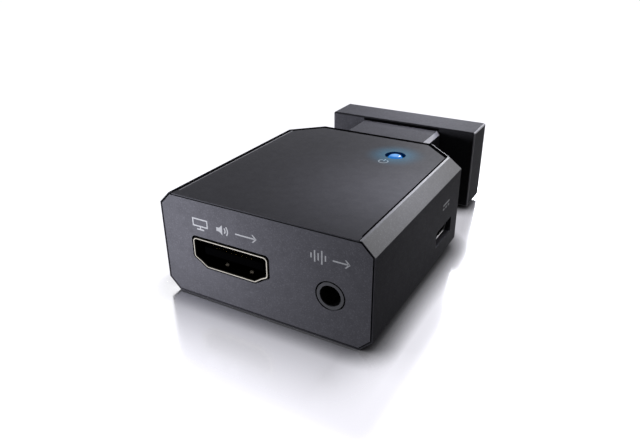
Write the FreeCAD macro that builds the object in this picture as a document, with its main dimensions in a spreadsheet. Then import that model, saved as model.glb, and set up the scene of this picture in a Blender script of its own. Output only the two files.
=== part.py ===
import FreeCAD, Part
import math
import os
import Sketcher

# Video and sound converter in a small bevelled box: an HDMI socket and a line-in jack in the front,
# a power socket in the right side, and a 15-pin VGA plug behind a narrow neck.
# Lengths are millimetres. Seen from the front, X points right, Y points back to the plug and Z points up.
# Every piece is drawn in the body's frame, with the front face at y = 0 and the base at z = 0, or in the
# frame of its own connector. place() then moves it, so that the origin is under the middle of the whole.

SIZES = [
    ("body_width", 39.1, "width of the housing"),
    ("body_height", 18.6, "height of the housing"),
    ("body_length", 44.7, "front face to rear wall"),
    ("top_bevel", 2.1, "bevel round the top edges"),
    ("bottom_bevel", 2.1, "bevel round the bottom edges"),
    ("rear_corner", 6.75, "leg of the 45 degree cut across each rear corner"),
    ("wall", 1.5, "wall of the housing"),
    ("mouth_land", 0.12, "flat left on the edge of the front mouth"),
    ("face_seam", 0.26, "dark gap round the front plate"),
    ("face_thickness", 1.2, "front plate"),
    ("spigot_depth", 2.2, "how far the front plate plugs into the housing"),
    ("spigot_wall", 0.9, "wall of that spigot"),
    ("slip", 0.08, "clearance between pieces that slide together"),
    ("rim", 0.42, "edge of the housing left round the top plate"),
    ("side_seam", 0.16, "gap beside the top plate"),
    ("rear_seam", 0.36, "gap behind the top plate"),
    ("cover_thickness", 1.2, "top plate"),
    ("cover_drop", 0.03, "top plate below the housing's edge"),
    ("ledge_width", 1.1, "ledge that carries the top plate"),
    ("ledge_thickness", 1.2, "thickness of that ledge"),
    ("clip_width", 4.0, "clip legs under the top plate, along Y"),
    ("clip_thickness", 0.9, "clip legs, across"),
    ("clip_hook", 0.45, "how far a clip reaches under the ledge"),
    ("clip_front", 11.0, "front clips, from the front face"),
    ("clip_rear", 10.0, "rear clips, ahead of the rear corner cuts"),
    ("axis_height", 9.3, "height of the middle of the neck, hood and plug"),
    ("neck_length", 10.8, "gap between the body and the hood"),
    ("neck_width", 18.5, "width of the neck"),
    ("neck_height", 15.4, "height of the neck"),
    ("neck_bevel", 0.7, "bevel along the neck"),
    ("neck_wall", 1.35, "wall of the neck"),
    ("neck_shoulder", 0.7, "shoulder where the neck enters the rear wall"),
    ("hood_width", 33.6, "width of the hood"),
    ("hood_height", 17.0, "height of the hood"),
    ("hood_depth", 8.2, "hood along Y"),
    ("hood_edge", 0.4, "rounding of the hood's edges"),
    ("hood_side", 2.6, "side wall of the hood"),
    ("hood_roof", 3.1, "roof and floor of the hood"),
    ("hood_front", 1.4, "front wall of the hood"),
    ("hood_lip", 0.6, "lip that holds the plug's flange"),
    ("flange_width", 30.8, "flange of the plug"),
    ("flange_height", 12.5, "flange of the plug"),
    ("flange_sheet", 0.5, "each of the two flange sheets"),
    ("flange_corner", 1.2, "corner radius of the flange"),
    ("flange_cover", 0.8, "how far the hood's lip covers the flange"),
    ("flange_hole", 3.1, "hole diameter in the flange"),
    ("flange_spacing", 24.99, "distance between the flange holes"),
    ("plug_width", 16.92, "inside width of the plug's skirt at its wide side"),
    ("plug_height", 8.36, "inside height of the plug's skirt"),
    ("plug_reach", 5.9, "skirt beyond the flange"),
    ("plug_sheet", 0.4, "sheet of the skirt"),
    ("plug_corner", 2.3, "inside corner radius of the skirt"),
    ("pin_diameter", 0.76, "contact pin"),
    ("pin_pitch", 2.29, "pins along a row"),
    ("pin_level", 1.98, "height between the rows of pins"),
    ("pin_short", 0.7, "pin tips inside the skirt's edge"),
    ("pin_tail", 0.6, "pins beyond the upright board"),
    ("block_width", 19.4, "insulator behind the flange"),
    ("block_height", 9.6, "insulator behind the flange"),
    ("block_depth", 4.0, "insulator behind the flange"),
    ("plug_board_width", 21.0, "upright board behind the plug"),
    ("plug_board_height", 10.2, "upright board behind the plug"),
    ("plug_board_thickness", 1.0, "upright board behind the plug"),
    ("link_pitch", 1.0, "link pins between the boards"),
    ("link_size", 0.5, "side of a link pin"),
    ("link_overlap", 3.0, "link pins along the main board"),
    ("board_top", 5.45, "height of the main board's upper face"),
    ("board_thickness", 1.2, "main board"),
    ("board_gap", 0.45, "main board to the side walls"),
    ("tongue_gap", 0.3, "main board's tail to the neck's walls"),
    ("boss_diameter", 3.8, "screw bosses on the floor"),
    ("screw_diameter", 1.8, "shank of the board screws"),
    ("screw_head", 3.4, "head of the board screws"),
    ("screw_head_height", 1.3, "head of the board screws"),
    ("screw_bite", 2.2, "screw below the main board"),
    ("front_screw_y", 16.2, "front screws, from the front face"),
    ("front_screw_side", 4.05, "front screws, from the side faces"),
    ("rear_screw_y", 4.9, "rear screws, ahead of the rear wall"),
    ("rear_screw_side", 0.3, "rear screws, inside the rear corner cuts"),
    ("lamp_side", 11.45, "lamp, from the right face"),
    ("lamp_rear", 11.25, "lamp, ahead of the rear wall"),
    ("lamp_hole", 3.86, "hole in the top plate"),
    ("lamp_seat", 0.8, "depth of that hole's wide part"),
    ("lens_diameter", 2.75, "lens of the light pipe"),
    ("lens_rise", 1.02, "top of the lens above the plate's underside"),
    ("lens_dome", 0.62, "height of the lens's rounded end"),
    ("pipe_diameter", 2.2, "stem of the light pipe"),
    ("pipe_flange", 4.4, "flange of the light pipe"),
    ("pipe_flange_thickness", 0.8, "flange of the light pipe"),
    ("lamp_gap", 0.3, "light pipe above the lamp chip"),
    ("lamp_chip", 1.6, "side of the lamp chip"),
    ("lamp_chip_height", 0.7, "lamp chip"),
    ("hdmi_side", 13.68, "HDMI socket, from the left face"),
    ("hdmi_rise", 3.5, "middle of the HDMI socket above the board"),
    ("hdmi_width", 14.0, "opening of the HDMI socket"),
    ("hdmi_height", 4.55, "opening of the HDMI socket"),
    ("hdmi_waist", 0.85, "straight sides end this far below the middle"),
    ("hdmi_shoulder", 1.4, "shoulder of the socket's outline below the middle"),
    ("hdmi_shoulder_width", 11.9, "width at the shoulder"),
    ("hdmi_foot_width", 9.4, "width of the bottom edge"),
    ("hdmi_sheet", 0.35, "sheet of the HDMI shell"),
    ("hdmi_corner", 0.45, "inside corner radius of the HDMI shell"),
    ("hdmi_depth", 11.2, "HDMI shell along Y"),
    ("hdmi_proud", 0.12, "HDMI shell ahead of the front face"),
    ("hdmi_gap", 0.27, "gap round the HDMI shell in the front plate"),
    ("hdmi_block", 3.4, "rear block inside the shell"),
    ("hdmi_back", 1.0, "rear block behind the shell"),
    ("hdmi_tongue_width", 11.6, "tongue of the HDMI socket"),
    ("hdmi_tongue_thickness", 1.3, "tongue of the HDMI socket"),
    ("hdmi_tongue_inset", 0.9, "tongue behind the front face"),
    ("hdmi_pitch", 1.0, "contacts along one row"),
    ("hdmi_contact", 0.4, "width of a contact"),
    ("contact_sheet", 0.15, "sheet of the contacts"),
    ("contact_foot", 0.9, "soldered foot of a contact"),
    ("row_step", 0.5, "upper row of contacts behind the lower row"),
    ("leg_width", 1.2, "legs of the HDMI shell"),
    ("leg_front", 5.0, "front legs, from the front face"),
    ("leg_rear", 9.4, "rear legs, from the front face"),
    ("leg_below", 0.8, "legs below the main board"),
    ("hole_slack", 0.12, "clearance round what passes through a board"),
    ("jack_side", 7.1, "line-in jack, from the right face"),
    ("jack_bore", 3.6, "bore of the jack"),
    ("jack_ring", 4.6, "outside diameter of the bushing"),
    ("jack_hole", 5.1, "hole in the front plate round the bushing"),
    ("jack_gap", 0.3, "jack body behind the front plate"),
    ("jack_width", 6.0, "jack body"),
    ("jack_height", 5.2, "jack body"),
    ("jack_length", 12.0, "jack body"),
    ("bushing_depth", 3.0, "bushing inside the jack body"),
    ("jack_inside", 3.9, "side of the square hollow behind the bushing"),
    ("tip_bump", 9.9, "tip contact point behind the body's front"),
    ("ring_bump", 6.2, "ring contact point behind the body's front"),
    ("spring_reach", 4.2, "spring root to contact point"),
    ("spring_sheet", 0.25, "sheet of the springs"),
    ("spring_width", 1.5, "width of the springs, along Z"),
    ("spring_offset", 2.3, "middle of the spring strip from the jack's axis"),
    ("spring_nose", 1.35, "contact point from the jack's axis"),
    ("channel_width", 2.0, "channel in the jack body for a spring, along Z"),
    ("terminal_gap", 0.15, "fixed terminal to the spring's root"),
    ("terminal_width", 0.8, "fixed terminals along Y"),
    ("terminal_below", 0.8, "terminals below the main board"),
    ("usb_rear", 14.3, "power socket, ahead of the rear wall"),
    ("usb_width", 6.9, "opening of the power socket"),
    ("usb_height", 1.9, "opening of the power socket"),
    ("usb_foot", 5.0, "opening's lower edge"),
    ("usb_waist", 0.2, "straight sides end this far below the middle"),
    ("usb_sheet", 0.3, "sheet of the power socket"),
    ("usb_corner", 0.3, "inside corner radius of the power socket"),
    ("usb_depth", 5.0, "power socket along X"),
    ("usb_recess", 0.85, "power socket behind the side face"),
    ("usb_gap", 0.28, "gap round the power socket in the side wall"),
    ("usb_block", 1.4, "rear block of the power socket"),
    ("usb_tongue_width", 3.8, "tongue of the power socket"),
    ("usb_tongue_thickness", 0.6, "tongue of the power socket"),
    ("usb_tongue_rise", 0.35, "middle of the tongue above the socket's middle"),
    ("usb_tongue_inset", 0.6, "tongue behind the socket's edge"),
    ("usb_pitch", 0.65, "contacts of the power socket"),
    ("usb_contact", 0.35, "width of a contact"),
    ("chip_side", 10.0, "converter chip"),
    ("chip_height", 1.4, "converter chip"),
    ("chip_x", -4.5, "converter chip, right of the middle"),
    ("chip_y", 21.7, "converter chip, from the front face"),
    ("chip_pitch", 0.56, "leads of the converter chip"),
    ("chip_lead", 0.26, "width of a lead of the converter chip"),
    ("lead_sheet", 0.16, "sheet of the leads"),
    ("lead_foot", 0.8, "soldered foot of a lead"),
    ("lead_reach", 0.35, "lead out of the chip's side"),
    ("small_length", 5.0, "small chips, along their leads' rows"),
    ("small_width", 4.0, "small chips, across"),
    ("small_height", 1.5, "small chips"),
    ("small_pitch", 1.27, "leads of the memory chip"),
    ("small_lead", 0.4, "width of a lead of the small chips"),
    ("sound_pitch", 0.65, "leads of the sound chip"),
    ("sound_lead", 0.28, "width of a lead of the sound chip"),
    ("sound_x", 9.0, "sound chip, right of the middle"),
    ("sound_y", 18.4, "sound chip, from the front face"),
    ("memory_x", -12.4, "memory chip, right of the middle"),
    ("memory_y", 30.6, "memory chip, from the front face"),
    ("regulator_length", 6.5, "regulator"),
    ("regulator_width", 3.5, "regulator"),
    ("regulator_height", 1.6, "regulator"),
    ("regulator_x", 7.4, "regulator, right of the middle"),
    ("regulator_y", 24.9, "regulator, from the front face"),
    ("coil_side", 3.8, "inductor"),
    ("coil_height", 2.0, "inductor"),
    ("coil_x", 13.6, "inductor, right of the middle"),
    ("coil_y", 20.0, "inductor, from the front face"),
    ("crystal_length", 5.0, "crystal can"),
    ("crystal_width", 3.2, "crystal can"),
    ("crystal_height", 1.2, "crystal can"),
    ("crystal_x", -13.9, "crystal, right of the middle"),
    ("crystal_y", 21.1, "crystal, from the front face"),
    ("can_diameter", 4.0, "electrolytic capacitors"),
    ("can_height", 5.0, "electrolytic capacitors with their base"),
    ("can_base", 0.6, "base of the electrolytic capacitors"),
    ("can_x", -5.6, "first electrolytic capacitor, right of the middle"),
    ("can_rear", 6.45, "electrolytic capacitors, ahead of the rear wall"),
    ("can_pitch", 5.2, "distance between the electrolytic capacitors"),
    ("part_length", 1.6, "ceramic capacitors and resistors"),
    ("part_width", 0.8, "ceramic capacitors and resistors"),
    ("capacitor_height", 0.8, "ceramic capacitors"),
    ("resistor_height", 0.5, "resistors"),
    ("part_pitch", 2.3, "ceramic capacitors and resistors along a row"),
    ("row_front", 14.6, "row of resistors ahead of the converter chip"),
    ("row_middle", 9.8, "row of capacitors ahead of the rear wall"),
    ("row_rear", 3.1, "rear row of resistors ahead of the rear wall"),
    ("row_x", -7.5, "first piece of the rows, right of the middle"),
]

CUT_PAST = 1.0
ROOT_TWO = math.sqrt(2.0)
PLUG_SLANT = math.tan(math.radians(10.0))
PLANE_ROLES = {"X": "YZ_Plane", "Y": "XZ_Plane", "Z": "XY_Plane"}
AXIS_TURNS = {
    "X": FreeCAD.Rotation(FreeCAD.Vector(0, 1, 0), 90),
    "Y": FreeCAD.Rotation(FreeCAD.Vector(1, 0, 0), -90),
    "Z": FreeCAD.Rotation(),
}

doc = FreeCAD.newDocument("Converter")
nodes = []


class Size:
    """A length that keeps its value and the sheet expression that gives it."""

    def __init__(self, value, text):
        self.value = value
        self.text = text

    def __add__(self, other):
        return combined(self, "+", other)

    def __radd__(self, other):
        return combined(other, "+", self)

    def __sub__(self, other):
        return combined(self, "-", other)

    def __rsub__(self, other):
        return combined(other, "-", self)

    def __mul__(self, other):
        return combined(self, "*", other)

    def __rmul__(self, other):
        return combined(other, "*", self)

    def __truediv__(self, other):
        return combined(self, "/", other)

    def __neg__(self):
        return combined(0, "-", self)


def as_size(number):
    """Take a plain number as a length too."""
    if isinstance(number, Size):
        return number
    return Size(float(number), "%.9f" % number)


def combined(left, sign, right):
    """Join two lengths, or a length and a number, by one arithmetic sign."""
    left = as_size(left)
    right = as_size(right)
    if sign == "+":
        value = left.value + right.value
    elif sign == "-":
        value = left.value - right.value
    elif sign == "*":
        value = left.value * right.value
    else:
        value = left.value / right.value
    return Size(value, "(%s %s %s)" % (left.text, sign, right.text))


class Sheet:
    """The driving dimensions, each one a Size of the same name."""

    def __init__(self, rows):
        cells = doc.addObject("Spreadsheet::Sheet", "Sizes")
        for number, (name, value, note) in enumerate(rows, 1):
            cells.set("A%d" % number, name)
            cells.set("B%d" % number, str(value))
            cells.set("C%d" % number, note)
            cells.setAlias("B%d" % number, name)
            setattr(self, name, Size(value, "Sizes." + name))
        doc.recompute()


s = Sheet(SIZES)


def bind(thing, name, size):
    """Let the sheet drive one property."""
    thing.setExpression(name, as_size(size).text)


def place(thing, x=0.0, y=0.0, z=0.0, turn=0.0):
    """Turn a piece about Z and move its own frame to x, y, z."""
    thing.Placement = FreeCAD.Placement(FreeCAD.Vector(), FreeCAD.Rotation(FreeCAD.Vector(0, 0, 1), turn))
    bind(thing, "Placement.Base.x", x)
    bind(thing, "Placement.Base.y", y)
    bind(thing, "Placement.Base.z", z)
    return thing


def node(thing, label, x=0.0, y=0.0, z=0.0, turn=0.0):
    """Name a finished sub-part and set it in the frame of the whole."""
    thing.Label = label
    place(thing, x, front_y + y, z, turn)
    nodes.append(thing)
    return thing


def hold_corner(sketch, edge, x, y):
    """Hold the start of a sketch line at x, y from the sketch's origin."""
    for kind, size in (("DistanceX", x), ("DistanceY", y)):
        size = as_size(size)
        index = sketch.addConstraint(Sketcher.Constraint(kind, -1, 1, edge, 1, size.value))
        bind(sketch, "Constraints[%d]" % index, size)


def draw_outline(sketch, outline):
    """Close a polygon through the corners of an outline."""
    first = sketch.GeometryCount
    count = len(outline)
    corners = [FreeCAD.Vector(as_size(x).value, as_size(y).value, 0) for x, y in outline]
    for index in range(count):
        line = Part.LineSegment(corners[index], corners[(index + 1) % count])
        sketch.addGeometry(line, False)
    for index in range(count):
        following = first + (index + 1) % count
        sketch.addConstraint(Sketcher.Constraint("Coincident", first + index, 2, following, 1))
    for index, (x, y) in enumerate(outline):
        hold_corner(sketch, first + index, x, y)


def new_sketch(body, axis, start, outlines):
    """Sketch closed outlines on the plane across an axis, start away from the body's origin."""
    role = PLANE_ROLES[axis]
    plane = [item for item in body.Origin.OriginFeatures if item.Role == role][0]
    sketch = body.newObject("Sketcher::SketchObject", body.Name + "Sketch")
    sketch.AttachmentSupport = [(plane, "")]
    sketch.MapMode = "FlatFace"
    away = as_size(start)
    bind(sketch, "AttachmentOffset.Base.z", -away if axis == "Y" else away)
    for outline in outlines:
        draw_outline(sketch, outline)
    return sketch


def new_pad(body, sketch, axis, length):
    """Raise a sketch along the positive axis."""
    pad = body.newObject("PartDesign::Pad", body.Name + "Pad")
    pad.Profile = sketch
    pad.Reversed = axis == "Y"
    bind(pad, "Length", length)
    return pad


def edge_names(feature, wanted):
    """Names of a feature's edges whose two ends pass the wanted test."""
    doc.recompute()
    names = []
    for number, edge in enumerate(feature.Shape.Edges, 1):
        ends = [vertex.Point for vertex in edge.Vertexes]
        if len(ends) == 2 and wanted(ends[0], ends[1]):
            names.append("Edge%d" % number)
    return names


def dress(body, kind, feature, wanted, size):
    """Add a Fillet or a Chamfer to the wanted edges of a feature."""
    property_name = {"Fillet": "Radius", "Chamfer": "Size"}[kind]
    names = edge_names(feature, wanted)
    dressing = body.newObject("PartDesign::" + kind, body.Name + kind)
    dressing.Base = (feature, names)
    bind(dressing, property_name, size)
    return dressing


def runs_along(axis):
    """Test for edges that run along one axis."""
    side = "XYZ".index(axis)

    def wanted(first, last):
        return all(abs(first[i] - last[i]) < 1e-6 for i in range(3) if i != side)
    return wanted


def prism(name, axis, outline, start, length, corner=None):
    """A body with one straight outline along an axis, its long edges rounded by corner."""
    body = doc.addObject("PartDesign::Body", name)
    sketch = new_sketch(body, axis, start, [outline])
    pad = new_pad(body, sketch, axis, length)
    if corner is not None:
        dress(body, "Fillet", pad, runs_along(axis), corner)
    return body


def row_of(body, axis, length, count):
    """Repeat a body's last feature along an axis, over the given length."""
    origin_axis = [item for item in body.Origin.OriginFeatures if item.Role == axis + "_Axis"][0]
    pattern = body.newObject("PartDesign::LinearPattern", body.Name + "Row")
    pattern.Originals = [body.Tip]
    pattern.Direction = (origin_axis, [""])
    bind(pattern, "Length", length)
    pattern.Occurrences = count
    body.Tip = pattern
    return body


def box(name, x, y, z):
    """A box from three pairs of limits."""
    block = doc.addObject("Part::Box", name)
    for side, (low, high) in (("Length", x), ("Width", y), ("Height", z)):
        bind(block, side, as_size(high) - low)
    for letter, (low, high) in (("x", x), ("y", y), ("z", z)):
        bind(block, "Placement.Base." + letter, low)
    return block


def cylinder(name, axis, centre, start, length, diameter):
    """A round bar along Y or Z; centre is x, z or x, y."""
    bar = doc.addObject("Part::Cylinder", name)
    bar.Placement = FreeCAD.Placement(FreeCAD.Vector(), AXIS_TURNS[axis])
    bind(bar, "Radius", as_size(diameter) / 2)
    bind(bar, "Height", length)
    across, along = ("z", "y") if axis == "Y" else ("y", "z")
    bind(bar, "Placement.Base.x", centre[0])
    bind(bar, "Placement.Base." + across, centre[1])
    bind(bar, "Placement.Base." + along, start)
    return bar


def fused(name, *pieces):
    """One solid from pieces that meet."""
    joint = doc.addObject("Part::MultiFuse", name)
    joint.Shapes = list(pieces)
    joint.Refine = True
    return joint


def group(name, *pieces):
    """Separate solids that share one node."""
    joint = doc.addObject("Part::Compound", name)
    joint.Links = list(pieces)
    return joint


def cut(name, base, *tools):
    """What is left of the base when the tools are taken away."""
    result = doc.addObject("Part::Cut", name)
    result.Base = base
    result.Tool = tools[0] if len(tools) == 1 else group(name + "Tools", *tools)
    return result


def common(name, base, tool):
    """What the base shares with the tool."""
    result = doc.addObject("Part::Common", name)
    result.Base = base
    result.Tool = tool
    return result


def grown(outline, distance):
    """Move every edge of a polygon out by one distance, or in by a negative one."""
    points = [(as_size(x).value, as_size(y).value) for x, y in outline]
    count = len(points)
    turning = sum(points[i][0] * points[(i + 1) % count][1] - points[(i + 1) % count][0] * points[i][1]
                  for i in range(count))
    side = 1.0 if turning > 0 else -1.0
    normals = []
    for index in range(count):
        run = (points[(index + 1) % count][0] - points[index][0], points[(index + 1) % count][1] - points[index][1])
        length = math.hypot(run[0], run[1])
        normals.append((side * run[1] / length, -side * run[0] / length))
    result = []
    for index, (x, y) in enumerate(outline):
        before, after = normals[index - 1], normals[index]
        share = 1.0 + before[0] * after[0] + before[1] * after[1]
        result.append((x + distance * ((before[0] + after[0]) / share),
                       y + distance * ((before[1] + after[1]) / share)))
    return result


def rectangle(x, y):
    """Outline of a rectangle from two pairs of limits."""
    return [(x[0], y[0]), (x[1], y[0]), (x[1], y[1]), (x[0], y[1])]


def across(width, middle=0.0):
    """Pair of limits a width apart about a middle."""
    return (middle - width / 2, middle + width / 2)


def mirrored(half):
    """Close an outline from its right half, listed from the bottom up."""
    return half + [(-x, y) for x, y in reversed(half)]


# Places that several pieces share
hood_y = s.body_length + s.neck_length
hood_rear = hood_y + s.hood_depth
flange_face = hood_rear - s.hood_lip
flange_back = flange_face - 2 * s.flange_sheet
plug_end = flange_face + s.plug_reach
block_back = flange_back - s.block_depth
plug_board_front = block_back - s.plug_board_thickness
front_y = (s.hdmi_proud - plug_end) / 2
board_bottom = s.board_top - s.board_thickness
board_front = s.face_thickness + s.spigot_depth + s.slip
cover_top = s.body_height - s.cover_drop
cover_bottom = cover_top - s.cover_thickness
cavity_top = cover_bottom - s.ledge_thickness
hdmi_x = s.hdmi_side - s.body_width / 2
jack_x = s.body_width / 2 - s.jack_side
lamp_x = s.body_width / 2 - s.lamp_side
lamp_y = s.body_length - s.lamp_rear
hdmi_z = s.board_top + s.hdmi_rise
jack_y = s.face_thickness + s.jack_gap
jack_z = s.board_top + s.jack_height / 2
usb_z = s.board_top + s.usb_height / 2 + s.usb_sheet
usb_x = s.body_width / 2 - s.usb_recess
usb_y = s.body_length - s.usb_rear
front_screw_x = s.body_width / 2 - s.front_screw_side
rear_screw_x = s.body_width / 2 - s.rear_corner - s.rear_screw_side
rear_screw_y = s.body_length - s.rear_screw_y
screw_places = [
    (-front_screw_x, s.front_screw_y),
    (front_screw_x, s.front_screw_y),
    (-rear_screw_x, rear_screw_y),
    (rear_screw_x, rear_screw_y),
]


def plan(side, rear, front):
    """Top view of the body, moved in by side at the sides and by rear at the rear and its cut corners."""
    half = s.body_width / 2 - side
    back = s.body_length - rear
    slant = s.body_width / 2 + s.body_length - s.rear_corner - rear * ROOT_TWO
    return mirrored([(half, front), (half, slant - half), (slant - back, back)])


def octagon(inset):
    """Front view of the body with its four bevels, moved in all round."""
    half = s.body_width / 2
    corners = mirrored([
        (half - s.bottom_bevel, as_size(0)),
        (half, s.bottom_bevel),
        (half, s.body_height - s.top_bevel),
        (half - s.top_bevel, s.body_height),
    ])
    return grown(corners, -inset)


def cavity_section(inset):
    """Front view of the space inside the housing under the ledges, moved in all round."""
    half = s.body_width / 2 - s.wall
    leg = s.bottom_bevel - s.wall * (2 - ROOT_TWO)
    corners = mirrored([(half - leg, s.wall), (half, s.wall + leg), (half, cavity_top)])
    return grown(corners, -inset)


def bevelled_block(name, inset, front, low, high, top_bevel, bottom_bevel):
    """A block on the body's plan with its top and bottom edges bevelled, but for those at the front."""
    body = doc.addObject("PartDesign::Body", name)
    sketch = new_sketch(body, "Z", low, [plan(inset, inset, front)])
    feature = new_pad(body, sketch, "Z", high - low)
    for level, bevel in ((high, top_bevel), (low, bottom_bevel)):
        if bevel is not None:
            feature = dress(body, "Chamfer", feature, level_edges(level, front), bevel)
    return body


def level_edges(level, front):
    """Test for edges that lie at one height and reach behind the front."""
    height = as_size(level).value
    start = as_size(front).value

    def wanted(first, last):
        level_enough = abs(first.z - height) < 1e-6 and abs(last.z - height) < 1e-6
        return level_enough and max(first.y, last.y) > start + 1e-6
    return wanted


def tapered_octagon(name, inset, depth):
    """The body's front view at y = 0, drawn in at 45 degrees over its depth."""
    body = doc.addObject("PartDesign::Body", name)
    front = new_sketch(body, "Y", 0, [octagon(inset)])
    back = new_sketch(body, "Y", depth, [octagon(inset + depth)])
    loft = body.newObject("PartDesign::AdditiveLoft", name + "Loft")
    loft.Profile = front
    loft.Sections = [back]
    loft.Ruled = True
    return body


def hdmi_outline(growth):
    """Opening of the HDMI socket about its own middle, grown all round."""
    top = s.hdmi_height / 2
    half = mirrored([
        (s.hdmi_foot_width / 2, -top),
        (s.hdmi_shoulder_width / 2, -s.hdmi_shoulder),
        (s.hdmi_width / 2, -s.hdmi_waist),
        (s.hdmi_width / 2, top),
    ])
    return grown(half, growth)


def plug_outline(growth):
    """Inside of the plug's skirt about its own middle, wide side up, grown all round."""
    top = s.plug_height / 2
    wide = s.plug_width / 2
    return grown(mirrored([(wide - s.plug_height * PLUG_SLANT, -top), (wide, top)]), growth)


def usb_outline(growth):
    """Opening of the power socket about its own middle, grown all round."""
    top = s.usb_height / 2
    half = mirrored([(s.usb_foot / 2, -top), (s.usb_width / 2, -s.usb_waist), (s.usb_width / 2, top)])
    return grown(half, growth)


def moved(outline, x, y):
    """An outline shifted by x, y."""
    return [(left + x, up + y) for left, up in outline]


def make_mouth():
    """Bevelled mouth that the front plate sits in, shared by the housing and the top plate."""
    return tapered_octagon("Mouth", s.mouth_land, s.face_thickness)


def make_housing(mouth):
    """Tub with bevelled edges, open at the front and over the board, with a ledge for the top plate."""
    blank = bevelled_block("HousingBlank", 0, as_size(0), as_size(0), s.body_height, s.top_bevel, s.bottom_bevel)
    inner_bevel = s.bottom_bevel - s.wall * (2 - ROOT_TWO)
    core = bevelled_block("HousingCore", s.wall, as_size(-CUT_PAST), s.wall, cavity_top, None, inner_bevel)
    seat = s.top_bevel + s.rim
    recess = prism("CoverRecess", "Z", plan(seat, seat, -CUT_PAST), cover_bottom,
                   s.cover_thickness + s.cover_drop + CUT_PAST)
    edge = seat + s.ledge_width
    opening = prism("CoverOpening", "Z", plan(edge, edge, -CUT_PAST), cavity_top - CUT_PAST,
                    s.ledge_thickness + 2 * CUT_PAST)
    window_width = s.neck_width - 2 * s.neck_shoulder + 2 * s.slip
    window_height = s.neck_height - 2 * s.neck_shoulder + 2 * s.slip
    window = box("NeckWindow", across(window_width), (s.body_length - s.wall - CUT_PAST, s.body_length + CUT_PAST),
                 across(window_height, s.axis_height))
    socket = prism("PowerWindow", "X",
                   rectangle(across(s.usb_width + 2 * s.usb_sheet + 2 * s.usb_gap, usb_y),
                             across(s.usb_height + 2 * s.usb_sheet + 2 * s.usb_gap, usb_z)),
                   s.body_width / 2 - s.wall - CUT_PAST, s.wall + 2 * CUT_PAST, s.usb_corner)
    shell = cut("HousingShell", blank, core, recess, opening, mouth, window, socket)
    bosses = []
    for number, (x, y) in enumerate(screw_places):
        bar = cylinder("BossBar%d" % number, "Z", (x, y), s.wall, board_bottom - s.wall, s.boss_diameter)
        pilot = cylinder("BossPilot%d" % number, "Z", (x, y), s.wall, board_bottom, s.screw_diameter + s.slip / 2)
        bosses.append(cut("Boss%d" % number, bar, pilot))
    node(fused("Housing", shell, *bosses), "housing")


def make_top_plate(mouth):
    """Inset cover with the lamp hole, four clip legs and an undercut front edge."""
    seat = s.top_bevel + s.rim
    plate = prism("CoverPlate", "Z", plan(seat + s.side_seam, seat + s.rear_seam, as_size(0)),
                  cover_bottom, s.cover_thickness)
    legs = []
    edge = s.body_width / 2 - seat - s.ledge_width - 2 * s.slip
    rear = s.body_length - s.rear_corner - s.clip_rear
    for x_side in (-1, 1):
        for name, y in (("Front", s.clip_front), ("Rear", rear)):
            outline = [
                (x_side * edge, cover_bottom),
                (x_side * edge, cavity_top - s.slip),
                (x_side * (edge + s.clip_hook), cavity_top - s.slip),
                (x_side * edge, cavity_top - s.slip - 2 * s.clip_hook),
                (x_side * (edge - s.clip_thickness), cavity_top - s.slip - 2 * s.clip_hook),
                (x_side * (edge - s.clip_thickness), cover_bottom),
            ]
            side_name = "Left" if x_side < 0 else "Right"
            legs.append(prism("Clip" + name + side_name, "Y", outline, y - s.clip_width / 2, s.clip_width))
    whole = fused("CoverWhole", plate, *legs)
    seat_hole = cylinder("LampSeat", "Z", (lamp_x, lamp_y), cover_top - s.lamp_seat, s.lamp_seat + CUT_PAST,
                         s.lamp_hole)
    lens_hole = cylinder("LensHole", "Z", (lamp_x, lamp_y), cover_bottom - CUT_PAST,
                         s.cover_thickness + 2 * CUT_PAST, s.lens_diameter + s.slip)
    node(cut("TopPlate", whole, mouth, seat_hole, lens_hole), "top_plate")


def make_front_plate():
    """Face plate with 45 degree edges, the two cut-outs and a spigot that plugs into the housing."""
    face = tapered_octagon("FacePlate", s.mouth_land + s.face_seam, s.face_thickness)
    outer = prism("SpigotOuter", "Y", cavity_section(s.slip), s.face_thickness, s.spigot_depth)
    inner = prism("SpigotInner", "Y", cavity_section(s.slip + s.spigot_wall), s.face_thickness,
                  s.spigot_depth + CUT_PAST)
    spigot = cut("Spigot", outer, inner)
    hdmi = prism("HdmiCutOut", "Y", moved(hdmi_outline(s.hdmi_sheet + s.hdmi_gap), hdmi_x, hdmi_z), -CUT_PAST,
                 s.face_thickness + 2 * CUT_PAST, s.hdmi_corner + s.hdmi_sheet)
    jack = cylinder("JackHole", "Y", (jack_x, jack_z), -CUT_PAST, s.face_thickness + 2 * CUT_PAST, s.jack_hole)
    node(cut("FrontPlate", fused("FaceWhole", face, spigot), hdmi, jack), "front_plate")


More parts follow.
